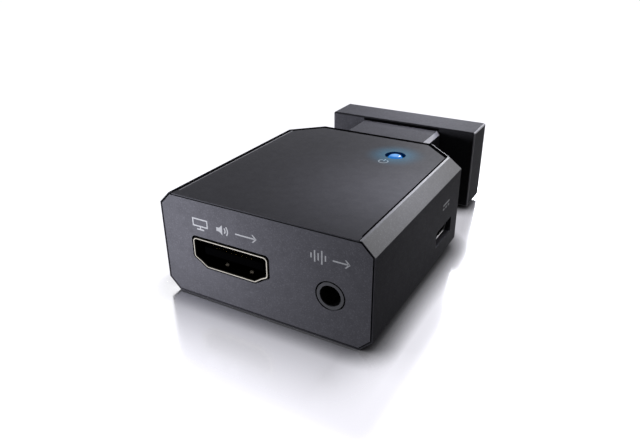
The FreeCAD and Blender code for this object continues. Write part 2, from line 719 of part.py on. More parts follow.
def make_hood():
    """Neck and plug hood, split into an upper and a lower half at the plug's middle."""
    block = prism("HoodBlock", "Y", rectangle(across(s.hood_width), across(s.hood_height, s.axis_height)), hood_y,
                  s.hood_depth)
    dress(block, "Fillet", block.Tip, lambda first, last: True, s.hood_edge)
    neck_box = rectangle(across(s.neck_width), across(s.neck_height, s.axis_height))
    neck = prism("Neck", "Y", neck_box, s.body_length, s.neck_length + s.hood_front)
    dress(neck, "Chamfer", neck.Tip, runs_along("Y"), s.neck_bevel)
    root = prism("NeckRoot", "Y", grown(neck_box, -s.neck_shoulder), s.body_length - s.wall, s.wall + s.neck_length)
    duct = prism("Duct", "Y", grown(neck_box, -s.neck_wall), s.body_length - s.wall - CUT_PAST,
                 s.wall + CUT_PAST + s.neck_length + s.hood_front + CUT_PAST)
    room_width = s.hood_width - 2 * s.hood_side
    room_height = s.hood_height - 2 * s.hood_roof
    room = box("HoodRoom", across(room_width), (hood_y + s.hood_front, flange_face), across(room_height, s.axis_height))
    slot = prism("FlangeSlot", "Y", rectangle(across(s.flange_width + 2 * s.slip),
                                              across(s.flange_height + 2 * s.slip, s.axis_height)),
                 flange_back, 2 * s.flange_sheet)
    window = prism("FlangeWindow", "Y",
                   rectangle(across(s.flange_width - 2 * s.flange_cover),
                             across(s.flange_height - 2 * s.flange_cover, s.axis_height)),
                   flange_face, s.hood_lip + CUT_PAST, s.flange_corner)
    whole = cut("HoodWhole", fused("HoodSolid", block, neck, root), duct, room, slot, window)
    for label, low, high in (("hood_top", s.axis_height, s.axis_height + s.hood_height),
                             ("hood_bottom", s.axis_height - s.hood_height, s.axis_height)):
        half = box(label.title().replace("_", "") + "Space", across(2 * s.hood_width),
                   (s.body_length - 2 * s.wall, hood_rear + CUT_PAST), (low, high))
        node(common(label.title().replace("_", ""), whole, half), label)


def flange_sheet_body(name, start):
    """One sheet of the plug's flange with its two holes, about the plug's own middle."""
    sheet = prism(name + "Sheet", "Y", rectangle(across(s.flange_width), across(s.flange_height)), start,
                  s.flange_sheet, s.flange_corner)
    holes = [cylinder(name + "Hole%d" % number, "Y", (x, 0), start - CUT_PAST, s.flange_sheet + 2 * CUT_PAST,
                      s.flange_hole)
             for number, x in enumerate((-s.flange_spacing / 2, s.flange_spacing / 2))]
    return sheet, holes


def make_plug():
    """15-pin plug: skirt with flange, rear shell, insulator, pins and the upright board behind it."""
    sheet, holes = flange_sheet_body("Flange", flange_face - s.flange_sheet)
    skirt = prism("Skirt", "Y", plug_outline(s.plug_sheet), flange_face - s.flange_sheet,
                  s.plug_reach + s.flange_sheet, s.plug_corner + s.plug_sheet)
    inside = prism("SkirtInside", "Y", plug_outline(0), flange_face - 2 * s.flange_sheet,
                   s.plug_reach + 2 * s.flange_sheet + CUT_PAST, s.plug_corner)
    shell = cut("PlugShell", fused("PlugShellWhole", sheet, skirt), inside, *holes)
    node(shell, "vga_shell", z=s.axis_height)

    rear_sheet, rear_holes = flange_sheet_body("Rear", flange_back)
    rear_opening = prism("RearOpening", "Y", plug_outline(0), flange_back - CUT_PAST,
                         s.flange_sheet + 2 * CUT_PAST, s.plug_corner)
    node(cut("PlugRearShell", rear_sheet, rear_opening, *rear_holes), "vga_rear_shell", z=s.axis_height)

    pins = [pin_row("PinRow%d" % number, x, z) for number, (x, z) in enumerate((
        (s.pin_pitch / 4, s.pin_level),
        (-s.pin_pitch / 4, as_size(0)),
        (s.pin_pitch / 4, -s.pin_level),
    ))]
    pin_tools = group("PinTools", *pins)
    front = prism("InsulatorFront", "Y", plug_outline(-s.slip), flange_back, 2 * s.flange_sheet,
                  s.plug_corner - s.slip)
    back = prism("InsulatorBack", "Y", rectangle(across(s.block_width), across(s.block_height)), block_back,
                 s.block_depth, s.flange_sheet)
    insulator = cut("PlugInsulator", fused("InsulatorWhole", front, back), pin_tools)
    node(insulator, "vga_insulator", z=s.axis_height)

    board = box("PlugBoardBlank", across(s.plug_board_width), (plug_board_front, block_back),
                across(s.plug_board_height))
    links = link_pins()
    node(cut("PlugBoard", board, pin_tools, links), "plug_board", z=s.axis_height)
    node(group("PlugPins", pin_tools), "vga_pins", z=s.axis_height)
    node(group("LinkPins", links), "board_link_pins", z=s.axis_height)


def pin_row(name, x, z):
    """Five round pins with bevelled tips, in a row along X."""
    body = doc.addObject("PartDesign::Body", name)
    radius = s.pin_diameter / 2
    tail = plug_board_front - s.pin_tail
    tip = plug_end - s.pin_short
    outline = [(as_size(0), tail), (radius, tail), (radius, tip - radius), (radius / 2, tip), (as_size(0), tip)]
    sketch = new_sketch(body, "Z", 0, [outline])
    turned = body.newObject("PartDesign::Revolution", name + "Turned")
    turned.Profile = sketch
    turned.ReferenceAxis = (sketch, ["V_Axis"])
    turned.Angle = 360.0
    row_of(body, "X", 4 * s.pin_pitch, 5)
    return place(body, x - 2 * s.pin_pitch, 0, z)


def link_pins():
    """Row of square pins that lie on the main board's tail and pass through the upright board."""
    level = s.board_top - s.axis_height
    body = prism("LinkRow", "Y", rectangle(across(s.link_size, -4 * s.link_pitch), (level, level + s.link_size)),
                 plug_board_front - s.link_overlap, s.link_overlap + s.plug_board_thickness)
    return row_of(body, "X", 8 * s.link_pitch, 9)


def leg_outlines(growth):
    """The four legs of the HDMI shell in top view, about the socket's middle."""
    outer = s.hdmi_width / 2 + s.hdmi_sheet
    sides = ((-outer, s.hdmi_sheet - outer), (outer - s.hdmi_sheet, outer))
    return [rectangle((x[0] - growth, x[1] + growth), (y - growth, y + s.leg_width + growth))
            for x in sides for y in (s.leg_front, s.leg_rear)]


def make_board():
    """Main board with cut rear corners, a tail into the neck, screw holes and slots for legs and terminals."""
    inset = s.wall + s.board_gap
    blank = prism("BoardBlank", "Z", plan(inset, inset, board_front), board_bottom, s.board_thickness)
    tail_width = s.neck_width - 2 * s.neck_wall - 2 * s.tongue_gap
    tail = box("BoardTail", across(tail_width), (s.body_length - 2 * s.rear_corner, plug_board_front),
               (board_bottom, s.board_top))
    tools = []
    for number, (x, y) in enumerate(screw_places):
        tools.append(cylinder("ScrewHole%d" % number, "Z", (x, y), board_bottom - CUT_PAST,
                              s.board_thickness + 2 * CUT_PAST, s.screw_diameter + 2 * s.hole_slack))
    for number, outline in enumerate(leg_outlines(s.hole_slack)):
        tools.append(prism("LegSlot%d" % number, "Z", moved(outline, hdmi_x, 0), board_bottom - CUT_PAST,
                           s.board_thickness + 2 * CUT_PAST))
    for name, x, y in terminal_places():
        limits = (across(s.spring_sheet + 2 * s.hole_slack, x + jack_x),
                  (y - s.hole_slack + jack_y, y + s.terminal_width + s.hole_slack + jack_y))
        tools.append(box(name + "Slot", limits[0], limits[1], (board_bottom - CUT_PAST, s.board_top + CUT_PAST)))
    node(cut("MainBoard", fused("BoardWhole", blank, tail), *tools), "main_board")


def make_screws():
    """Four pan-head screws with cross slots that hold the main board to its bosses."""
    screws = []
    for number, (x, y) in enumerate(screw_places):
        head = cylinder("ScrewHead%d" % number, "Z", (0, 0), s.board_top, s.screw_head_height, s.screw_head)
        shank = cylinder("ScrewShank%d" % number, "Z", (0, 0), board_bottom - s.screw_bite,
                         s.screw_bite + s.board_thickness, s.screw_diameter)
        depth = (s.board_top + s.screw_head_height / 2, s.board_top + s.screw_head_height + CUT_PAST)
        slots = [
            box("ScrewSlotA%d" % number, across(s.screw_head * 0.6), across(s.screw_head * 0.15), depth),
            box("ScrewSlotB%d" % number, across(s.screw_head * 0.15), across(s.screw_head * 0.6), depth),
        ]
        screw = cut("Screw%d" % number, fused("ScrewWhole%d" % number, head, shank), *slots)
        screws.append(place(screw, x, y))
    node(group("BoardScrews", *screws), "board_screws")


def make_lamp():
    """Lamp chip on the board and the light pipe that carries its light to the top plate."""
    chip_top = s.board_top + s.lamp_chip_height
    chip = box("LampChip", across(s.lamp_chip), across(s.lamp_chip), (s.board_top, chip_top))
    node(group("LampChipPlace", chip), "led_chip", lamp_x, lamp_y)
    stem_start = chip_top + s.lamp_gap
    flange_start = cover_bottom - s.pipe_flange_thickness
    body = doc.addObject("PartDesign::Body", "LightPipe")
    stem = s.pipe_diameter / 2
    flange = s.pipe_flange / 2
    lens = s.lens_diameter / 2
    lens_top = cover_bottom + s.lens_rise
    outline = [
        (as_size(0), stem_start), (stem, stem_start), (stem, flange_start), (flange, flange_start),
        (flange, cover_bottom), (lens, cover_bottom), (lens, lens_top), (as_size(0), lens_top),
    ]
    sketch = new_sketch(body, "Y", 0, [outline])
    turned = body.newObject("PartDesign::Revolution", "LightPipeTurned")
    turned.Profile = sketch
    turned.ReferenceAxis = (sketch, ["V_Axis"])
    turned.Angle = 360.0
    top = lens_top.value
    doc.recompute()
    rims = ["Edge%d" % number for number, edge in enumerate(turned.Shape.Edges, 1)
            if edge.BoundBox.ZMin > top - 1e-6 and edge.Length > lens.value * math.pi]
    dome = body.newObject("PartDesign::Fillet", "LightPipeDome")
    dome.Base = (turned, rims)
    bind(dome, "Radius", s.lens_dome)
    node(body, "light_pipe", lamp_x, lamp_y)


def contact_row(name, tip, back, level, rise, width, pitch, count):
    """Contact strips of one row: a blade along Y, a bend down to the board and a soldered foot."""
    sheet = s.contact_sheet
    outline = [
        (tip, level), (back - sheet, level), (back - sheet, -rise), (back + s.contact_foot, -rise),
        (back + s.contact_foot, sheet - rise), (back, sheet - rise), (back, level + sheet), (tip, level + sheet),
    ]
    start = -pitch * (count - 1) / 2 - width / 2
    body = prism(name, "X", outline, start, width)
    return row_of(body, "X", pitch * (count - 1), count)


def make_hdmi():
    """HDMI socket: steel shell with four legs, insulator with tongue, and nineteen contacts."""
    outer = prism("HdmiOuter", "Y", hdmi_outline(s.hdmi_sheet), -s.hdmi_proud, s.hdmi_proud + s.hdmi_depth,
                  s.hdmi_corner + s.hdmi_sheet)
    inner = prism("HdmiInner", "Y", hdmi_outline(0), -s.hdmi_proud - CUT_PAST,
                  s.hdmi_proud + s.hdmi_depth + 2 * CUT_PAST, s.hdmi_corner)
    leg_low = board_bottom - s.leg_below - hdmi_z
    legs = [prism("HdmiLeg%d" % number, "Z", outline, leg_low, -leg_low)
            for number, outline in enumerate(leg_outlines(0))]
    shell = cut("HdmiShell", fused("HdmiShellWhole", outer, *legs), inner)
    node(shell, "hdmi_shell", hdmi_x, 0, hdmi_z)

    half_tongue = s.hdmi_tongue_thickness / 2
    upper = contact_row("HdmiUpper", s.hdmi_tongue_inset + s.contact_sheet * 2,
                        s.hdmi_depth + s.hdmi_back + s.row_step, half_tongue - s.contact_sheet / 2, s.hdmi_rise,
                        s.hdmi_contact, s.hdmi_pitch, 10)
    lower = contact_row("HdmiLower", s.hdmi_tongue_inset + s.contact_sheet * 2,
                        s.hdmi_depth + s.hdmi_back + s.contact_sheet, -half_tongue - s.contact_sheet / 2, s.hdmi_rise,
                        s.hdmi_contact, s.hdmi_pitch, 9)
    contacts = group("HdmiContactRows", upper, lower)
    block_start = s.hdmi_depth - s.hdmi_block
    tongue = box("HdmiTongue", across(s.hdmi_tongue_width), (s.hdmi_tongue_inset, block_start),
                 across(s.hdmi_tongue_thickness))
    block = prism("HdmiBlock", "Y", hdmi_outline(-s.slip), block_start, s.hdmi_block, s.hdmi_corner - s.slip)
    shell_top = s.hdmi_height / 2 + s.hdmi_sheet
    back = box("HdmiBack", across(s.hdmi_width), (s.hdmi_depth, s.hdmi_depth + s.hdmi_back),
               (-s.hdmi_rise, shell_top))
    foot = box("HdmiFoot", across(s.hdmi_foot_width), (block_start, s.hdmi_depth), (-s.hdmi_rise, -shell_top))
    insulator = cut("HdmiInsulator", fused("HdmiInsulatorWhole", tongue, block, back, foot), contacts)
    node(insulator, "hdmi_insulator", hdmi_x, 0, hdmi_z)
    node(group("HdmiContacts", contacts), "hdmi_contacts", hdmi_x, 0, hdmi_z)


def terminal_places():
    """Name, x and front edge of the three fixed terminals, in the jack's own frame."""
    root = s.spring_sheet + s.terminal_gap
    return [
        ("TipTerminal", s.spring_offset, s.tip_bump - s.spring_reach - root - s.terminal_width),
        ("RingTerminal", -s.spring_offset, s.ring_bump + s.spring_reach + root),
        ("SleeveTerminal", as_size(0), s.bushing_depth - s.terminal_width - s.slip),
    ]


def spring_outline(side, direction):
    """Spring strip in top view, with its root's middle at the origin and its nose toward the jack's axis."""
    half = s.spring_sheet / 2
    nose = s.spring_offset - s.spring_nose
    reach = s.spring_reach
    bend = nose - s.spring_sheet
    flank = [
        (as_size(0), half), (reach - 2 * bend, half), (reach, half - nose + s.spring_sheet / 2),
    ]
    strip = [
        (as_size(0), -half), (reach - 2 * bend, -half), (reach - half, half - nose),
        (reach + half, half - nose), (reach + 2 * bend, -half), (reach + 2 * bend + half, -half),
        (reach + 2 * bend + half, half), (reach + 2 * bend, half),
        flank[2], flank[1], flank[0],
    ]
    return [(side * across_it, direction * along) for along, across_it in strip]


def make_spring(label, name, side, direction, bump):
    """One contact spring with a round root; direction is -1 where its root lies behind its contact point."""
    body = prism(name + "Strip", "Z", spring_outline(side, direction), -s.spring_width / 2, s.spring_width)
    root = cylinder(name + "Root", "Z", (0, 0), -s.spring_width / 2, s.spring_width, 2 * s.spring_sheet)
    spring = fused(name, body, root)
    node(spring, label, jack_x + side * s.spring_offset, jack_y + bump - direction * s.spring_reach, jack_z)


def make_jack():
    """Line-in jack: plastic body, round bushing, two contact springs and three fixed terminals."""
    nose = s.face_thickness + s.jack_gap
    ring = cylinder("BushingRing", "Y", (0, 0), -nose, nose + s.bushing_depth, s.jack_ring)
    bore = cylinder("BushingBore", "Y", (0, 0), -nose - CUT_PAST, nose + s.bushing_depth + 2 * CUT_PAST, s.jack_bore)
    node(cut("JackBushing", ring, bore), "jack_bushing", jack_x, jack_y, jack_z)

    low = board_bottom - s.terminal_below - jack_z
    terminals = []
    for name, x, y in terminal_places():
        high = -s.jack_ring / 2 if name == "SleeveTerminal" else s.spring_width / 2
        terminals.append(box(name, across(s.spring_sheet, x), (y, y + s.terminal_width), (low, high)))
    posts = group("TerminalPosts", *terminals)

    block = prism("JackBlock", "Y", rectangle(across(s.jack_width), across(s.jack_height)), 0, s.jack_length,
                  s.spring_sheet)
    seat = cylinder("BushingSeat", "Y", (0, 0), -CUT_PAST, s.bushing_depth + CUT_PAST, s.jack_ring + s.slip)
    inside = box("JackInside", across(s.jack_inside), (s.bushing_depth, s.jack_length + CUT_PAST),
                 across(s.jack_inside))
    channels = []
    slack = s.spring_sheet + s.terminal_gap
    for name, side, low_y, high_y in (
            ("Tip", 1, s.tip_bump - s.spring_reach - slack, s.tip_bump + s.spring_reach / 2),
            ("Ring", -1, s.ring_bump - s.spring_reach / 2, s.ring_bump + s.spring_reach + slack)):
        edges = sorted((as_size(side * (s.jack_inside / 4)), side * (s.jack_width / 2 + CUT_PAST)),
                       key=lambda size: size.value)
        channels.append(box(name + "Channel", edges, (low_y, high_y), across(s.channel_width)))
    body = cut("JackBody", block, seat, inside, posts, *channels)
    node(body, "jack_body", jack_x, jack_y, jack_z)
    node(group("JackTerminals", posts), "jack_terminals", jack_x, jack_y, jack_z)
    make_spring("jack_tip_spring", "TipSpring", 1, 1, s.tip_bump)
    make_spring("jack_ring_spring", "RingSpring", -1, -1, s.ring_bump)


def make_power_socket():
    """Small power socket in the right side wall, drawn facing the front and turned to face right."""
    outer = prism("UsbOuter", "Y", usb_outline(s.usb_sheet), 0, s.usb_depth, s.usb_corner + s.usb_sheet)
    inner = prism("UsbInner", "Y", usb_outline(0), -CUT_PAST, s.usb_depth + 2 * CUT_PAST, s.usb_corner)
    rise = s.usb_height / 2 + s.usb_sheet
    tongue_low = s.usb_tongue_rise - s.usb_tongue_thickness / 2
    contacts = contact_row("UsbRow", s.usb_tongue_inset + s.contact_sheet, s.usb_depth + s.contact_sheet * 2,
                           tongue_low - s.contact_sheet / 2, rise, s.usb_contact, s.usb_pitch, 5)
    block = prism("UsbBlock", "Y", usb_outline(-s.slip), s.usb_depth - s.usb_block, s.usb_block,
                  s.usb_corner - s.slip)
    tongue = box("UsbTongue", across(s.usb_tongue_width), (s.usb_tongue_inset, s.usb_depth - s.usb_block),
                 (tongue_low, tongue_low + s.usb_tongue_thickness))
    insulator = cut("UsbInsulator", fused("UsbInsulatorWhole", block, tongue), contacts)
    for thing, label in ((cut("UsbShell", outer, inner), "usb_shell"), (insulator, "usb_insulator"),
                         (group("UsbContacts", contacts), "usb_contacts")):
        node(thing, label, usb_x, usb_y, usb_z, 90.0)


def lead_row(name, side, height, count, pitch, width, turn):
    """One row of bent leads on the chip side that faces +X before the turn."""
    mid = height / 2
    start = side / 2
    knee = start + s.lead_reach
    sheet = s.lead_sheet
    outline = [
        (start, mid), (knee, mid), (knee, as_size(0)), (knee + s.lead_foot, as_size(0)),
        (knee + s.lead_foot, sheet), (knee + sheet, sheet), (knee + sheet, mid + sheet), (start, mid + sheet),
    ]
    row_start = -pitch * (count - 1) / 2 - width / 2
    body = row_of(prism(name, "Y", outline, row_start, width), "Y", pitch * (count - 1), count)
    return place(body, turn=turn)


def make_chip(label, name, x, y, length, width, height, rows, turn=0.0):
    """A moulded chip with bevelled upper edges and its rows of leads; rows lists side, count, pitch, width, turn."""
    body = prism(name + "Body", "Z", rectangle(across(width), across(length)), s.lead_sheet / 2,
                 height - s.lead_sheet / 2)
    top = height.value
    dress(body, "Chamfer", body.Tip, lambda first, last: first.z > top - 1e-6 and last.z > top - 1e-6,
          s.lead_sheet)
    leads = [lead_row("%sLeads%d" % (name, number), side, height, count, pitch, lead, angle)
             for number, (side, count, pitch, lead, angle) in enumerate(rows)]
    node(body, label, x, y, s.board_top, turn)
    node(group(name + "Leads", *leads), label + "_leads", x, y, s.board_top, turn)


def make_chips():
    """Converter chip with leads on four sides, sound chip and memory chip with leads on two."""
    square = [(s.chip_side, 16, s.chip_pitch, s.chip_lead, angle) for angle in (0.0, 90.0, 180.0, 270.0)]
    make_chip("converter_chip", "ConverterChip", s.chip_x, s.chip_y, s.chip_side, s.chip_side, s.chip_height, square)
    sound = [(s.small_width, 7, s.sound_pitch, s.sound_lead, angle) for angle in (0.0, 180.0)]
    make_chip("audio_chip", "AudioChip", s.sound_x, s.sound_y, s.small_length, s.small_width, s.small_height, sound,
              90.0)
    memory = [(s.small_width, 4, s.small_pitch, s.small_lead, angle) for angle in (0.0, 180.0)]
    make_chip("memory_chip", "MemoryChip", s.memory_x, s.memory_y, s.small_length, s.small_width, s.small_height,
              memory)


def make_power_parts():
    """Regulator with its tab and leads, inductor and crystal."""
    height = s.regulator_height
    body = box("RegulatorBody", across(s.regulator_length), across(s.regulator_width), (s.lead_sheet / 2, height))
    tab = lead_row("RegulatorTab", s.regulator_width, height, 1, s.small_pitch, s.regulator_width, 90.0)
    legs = lead_row("RegulatorLegs", s.regulator_width, height, 3, 1.8 * s.small_pitch, 1.8 * s.small_lead, 270.0)
    node(group("Regulator", body), "regulator", s.regulator_x, s.regulator_y, s.board_top)
    node(group("RegulatorLeads", tab, legs), "regulator_leads", s.regulator_x, s.regulator_y, s.board_top)
    coil = prism("Inductor", "Z", rectangle(across(s.coil_side), across(s.coil_side)), 0, s.coil_height,
                 s.lead_foot)
    node(coil, "inductor", s.coil_x, s.coil_y, s.board_top)
    crystal = prism("Crystal", "Z", rectangle(across(s.crystal_width), across(s.crystal_length)), 0,
                    s.crystal_height, s.lead_foot / 2)
    node(crystal, "crystal", s.crystal_x, s.crystal_y, s.board_top)


def make_electrolytic_capacitors():
    """Two round cans on square bases."""
    cans = []
    y = s.body_length - s.can_rear
    for number in range(2):
        x = s.can_x + number * s.can_pitch
        base = prism("CanBase%d" % number, "Z",
                     rectangle(across(s.can_diameter + s.slip, x), across(s.can_diameter + s.slip, y)), 0,
                     s.can_base)
        can = cylinder("Can%d" % number, "Z", (x, y), s.can_base, s.can_height - s.can_base, s.can_diameter)
        cans.append(fused("CanWhole%d" % number, base, can))
    node(group("ElectrolyticCapacitors", *cans), "electrolytic_capacitors", z=s.board_top)


def make_small_parts():
    """Rows of ceramic capacitors and resistors."""
    rows = {
        "resistors": [(s.row_front, 6), (s.body_length - s.row_rear, 6)],
        "ceramic_capacitors": [(s.body_length - s.row_middle, 6)],
    }
    heights = {"resistors": s.resistor_height, "ceramic_capacitors": s.capacitor_height}
    for label, places in rows.items():
        pieces = []
        for y, count in places:
            for number in range(count):
                x = s.row_x + number * s.part_pitch
                pieces.append(box("Piece%d" % (len(doc.Objects)), across(s.part_width, x), across(s.part_length, y),
                                  (as_size(0), heights[label])))
        node(group(label.title().replace("_", ""), *pieces), label, z=s.board_top)


def check_model():
    """Stop with a plain message if an object failed or a sub-part is not a valid solid."""
    doc.recompute()
    for item in doc.Objects:
        if "Invalid" in item.State or "Error" in item.State:
            raise RuntimeError("%s is %s" % (item.Name, item.State))
    for item in nodes:
        shape = item.Shape
        if shape.isNull() or not shape.isValid() or not shape.Solids:
            raise RuntimeError("%s has no valid solid" % item.Label)


def write_parts():
    """Write each sub-part to its own file and say what it holds."""
    os.makedirs("parts", exist_ok=True)
    for item in nodes:
        item.Shape.exportStep("parts/%s.step" % item.Label)
        print("%-24s %3d solids %10.3f mm3" % (item.Label, len(item.Shape.Solids), item.Shape.Volume))


mouth = make_mouth()
make_housing(mouth)
make_top_plate(mouth)
make_front_plate()
make_hood()
make_plug()
make_board()
make_screws()
make_lamp()
make_hdmi()
make_jack()
make_power_socket()
make_chips()
make_power_parts()
make_electrolytic_capacitors()
make_small_parts()
check_model()
write_parts()
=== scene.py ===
import math
import bmesh
import bpy
from mathutils import Matrix, Vector


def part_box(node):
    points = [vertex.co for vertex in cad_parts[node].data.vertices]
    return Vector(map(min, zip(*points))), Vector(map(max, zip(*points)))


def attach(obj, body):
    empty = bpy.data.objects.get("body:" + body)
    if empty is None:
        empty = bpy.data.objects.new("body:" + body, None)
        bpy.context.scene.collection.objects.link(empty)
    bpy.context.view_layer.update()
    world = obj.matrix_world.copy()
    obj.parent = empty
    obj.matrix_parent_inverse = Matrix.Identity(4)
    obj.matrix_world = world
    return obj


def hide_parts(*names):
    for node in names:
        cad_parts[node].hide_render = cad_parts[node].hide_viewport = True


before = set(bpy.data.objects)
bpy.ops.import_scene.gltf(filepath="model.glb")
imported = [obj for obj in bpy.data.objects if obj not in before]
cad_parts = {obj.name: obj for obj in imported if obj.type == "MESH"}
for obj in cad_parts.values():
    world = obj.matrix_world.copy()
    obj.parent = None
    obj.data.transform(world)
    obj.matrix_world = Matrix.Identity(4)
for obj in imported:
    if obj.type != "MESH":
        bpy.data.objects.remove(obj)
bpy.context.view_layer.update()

MM = 0.001
SAME = 1e-6  # metres between two places that count as one
NEAR = 1e-5  # metres between a face and the plane that it lies on

# Places and sizes on the part, in millimetres
FRONT_Y = -34.44  # front of the housing and of its front plate
RIGHT_X = 19.55  # right wall of the housing
HOUSING_TOP = 18.6
PLATE_TOP = 18.57  # upper face of the top plate
PLATE_SEAT = 15.0  # just under the top plate
FRONT_RECESS = 3.6  # a little more than the depth of the front plate
BEVEL = 2.1  # cut of the housing's long edges
EDGE_ROUND = 0.15  # softening of the housing's long edges
NECK_TOP = 17.0
NECK_SIDE = 8.9  # just inside the neck's side
POWER_MOUTH = 18.7  # mouth of the power socket's shell
SHEET = 0.35  # thickness of the HDMI shell
HDMI_HEIGHT = 4.55  # height of the HDMI shell's opening

# Numbers that outer_planes gives to the housing's planes
TOP_PLANE = 2
TOP_CHAMFERS = (4, 5)

# Light: how bright the white world is as a source, and the floor's own grey and glow
AMBIENT = 0.09
FLOOR_GREY = 0.1
FLOOR_GLOW = 1.12


# Camera at the photograph's place, in a 640 by 439 frame

def add_camera():
    """Camera whose place, direction and lens were fitted to points in the photograph."""
    turn, tilt, roll = math.radians(29.576), math.radians(26.382), math.radians(-0.371)
    back = Vector((math.sin(turn) * math.cos(tilt), -math.cos(turn) * math.cos(tilt), math.sin(tilt)))
    level = Vector((math.cos(turn), math.sin(turn), 0.0))
    upright = back.cross(level)
    right = math.cos(roll) * level + math.sin(roll) * upright
    up = -math.sin(roll) * level + math.cos(roll) * upright
    data = bpy.data.cameras.new("camera")
    data.sensor_width = 36.0
    data.lens = 34.033
    data.clip_start = 0.001
    data.clip_end = 20.0
    camera = bpy.data.objects.new("camera", data)
    matrix = Matrix((right, up, back)).transposed().to_4x4()
    matrix.translation = Vector((48.363, -66.157 + FRONT_Y, 58.106)) * MM
    camera.matrix_world = matrix
    bpy.context.scene.collection.objects.link(camera)
    bpy.context.scene.camera = camera


# Materials

def tree_math(tree, operation, first, second=0.0):
    """Result of an operation on a socket and a number or another socket."""
    node = tree.nodes.new("ShaderNodeMath")
    node.operation = operation
    tree.links.new(first, node.inputs[0])
    if isinstance(second, float):
        node.inputs[1].default_value = second
    else:
        tree.links.new(second, node.inputs[1])
    return node.outputs[0]


def tree_scale(tree, value, low, high, to_low, to_high):
    """Map a value from one range to another, held at both ends."""
    node = tree.nodes.new("ShaderNodeMapRange")
    for name, number in (("From Min", low), ("From Max", high), ("To Min", to_low), ("To Max", to_high)):
        node.inputs[name].default_value = number
    tree.links.new(value, node.inputs["Value"])
    return node.outputs["Result"]


class Shader:
    """A node tree with one Principled shader and short ways to add to it."""

    def __init__(self, name, color, rough, metallic=0.0, specular=0.5):
        self.material = bpy.data.materials.new(name)
        self.material.use_nodes = True
        self.tree = self.material.node_tree
        self.shader = self.tree.nodes["Principled BSDF"]
        self.set("Base Color", (*color, 1.0))
        self.set("Roughness", rough)
        self.set("Metallic", metallic)
        self.set("Specular IOR Level", specular)
        coords = self.tree.nodes.new("ShaderNodeTexCoord")
        self.place = coords.outputs["Object"]
        self.bump_input = None

    def set(self, name, value):
        self.shader.inputs[name].default_value = value

    def link(self, source, target):
        self.tree.links.new(source, target)

    def add(self, kind, **values):
        node = self.tree.nodes.new(kind)
        for name, value in values.items():
            setattr(node, name, value)
        return node

    def noise(self, size_mm, detail=2.0, stretch=None):
        """Noise whose largest features are about size_mm across."""
        source = self.place
        if stretch is not None:
            mapping = self.add("ShaderNodeMapping")
            mapping.inputs["Scale"].default_value = stretch
            self.link(source, mapping.inputs["Vector"])
            source = mapping.outputs["Vector"]
        node = self.add("ShaderNodeTexNoise")
        node.inputs["Scale"].default_value = 1.0 / (size_mm * MM)
        node.inputs["Detail"].default_value = detail
        self.link(source, node.inputs["Vector"])
        return node.outputs["Fac"]

    def cells(self, size_mm):
        """A random colour for each cell about size_mm across."""
        node = self.add("ShaderNodeTexVoronoi")
        node.inputs["Scale"].default_value = 1.0 / (size_mm * MM)
        self.link(self.place, node.inputs["Vector"])
        return node.outputs["Color"]

    def axis(self, letter):
        """One coordinate of the point, in metres."""
        node = self.add("ShaderNodeSeparateXYZ")
        self.link(self.place, node.inputs[0])
        return node.outputs[letter]

    def scale(self, value, low, high, to_low, to_high):
        return tree_scale(self.tree, value, low, high, to_low, to_high)

    def mix(self, factor, first, second):
        """Blend two colours, each a tuple or a socket."""
        node = self.add("ShaderNodeMix", data_type="RGBA")
        self.link(factor, node.inputs["Factor"])
        for value, name in ((first, "A"), (second, "B")):
            socket = [item for item in node.inputs if item.name == name and item.type == "RGBA"][0]
            if isinstance(value, tuple):
                socket.default_value = (*value, 1.0)
            else:
                self.link(value, socket)
        return [item for item in node.outputs if item.type == "RGBA"][0]

    def color(self, source):
        self.link(source, self.shader.inputs["Base Color"])

    def rough(self, source):
        self.link(source, self.shader.inputs["Roughness"])

    def bump(self, height, depth_mm):
        """Add a bump of the given depth on top of the ones before it."""
        node = self.add("ShaderNodeBump")
        node.inputs["Distance"].default_value = depth_mm * MM
        self.link(height, node.inputs["Height"])
        if self.bump_input is not None:
            self.link(self.bump_input, node.inputs["Normal"])
        self.bump_input = node.outputs["Normal"]
        self.link(self.bump_input, self.shader.inputs["Normal"])


def shade(color, share):
    """A colour made darker or lighter by a share."""
    return tuple(min(1.0, channel * share) for channel in color)


def painted(name, color, rough, specular, grain):
    """Metallic grey paint: fine flakes, slight mottling and a faint orange-peel surface."""
    material = Shader(name, color, rough, specular=specular)
    mottle = material.noise(1.6, detail=3.0)
    tint = material.cells(0.16)
    speck = material.add("ShaderNodeSeparateColor")
    material.link(tint, speck.inputs[0])
    bright = tree_math(material.tree, "POWER", speck.outputs[0], 5.0)
    flakes = tree_math(material.tree, "MULTIPLY", bright, 0.5 * grain)
    base = material.mix(material.scale(mottle, 0.3, 0.7, 0.0, 1.0), shade(color, 0.93), shade(color, 1.07))
    material.color(material.mix(flakes, base, shade(color, 2.2)))
    material.rough(material.scale(material.noise(0.5), 0.3, 0.7, rough - 0.04, rough + 0.05))
    material.bump(material.noise(0.22, detail=1.0), 0.0035 * grain)
    return material.material


def bore_plastic(name, color, rough):
    """Moulded ring with painted shade in its bore, which goes black just behind its edge."""
    material = Shader(name, color, rough, specular=0.15)
    # Painted shade: near black past the ring's edge into the bore.
    deep = material.scale(material.axis("Y"), (FRONT_Y + 0.12) * MM, (FRONT_Y + 0.3) * MM, 0.0, 1.0)
    mottled = material.mix(material.noise(0.6), shade(color, 0.9), shade(color, 1.1))
    material.color(material.mix(deep, mottled, shade(color, 0.03)))
    material.bump(material.noise(0.2), 0.001)
    return material.material


def plastic(name, color, rough, specular=0.5):
    """Moulded plastic with a fine texture."""
    grain_mm = 0.3
    material = Shader(name, color, rough, specular=specular)
    mottle = material.noise(grain_mm * 6, detail=3.0)
    material.color(material.mix(mottle, shade(color, 0.85), shade(color, 1.15)))
    material.rough(material.scale(material.noise(grain_mm), 0.3, 0.7, rough - 0.06, rough + 0.06))
    material.bump(material.noise(grain_mm), 0.002)
    return material.material


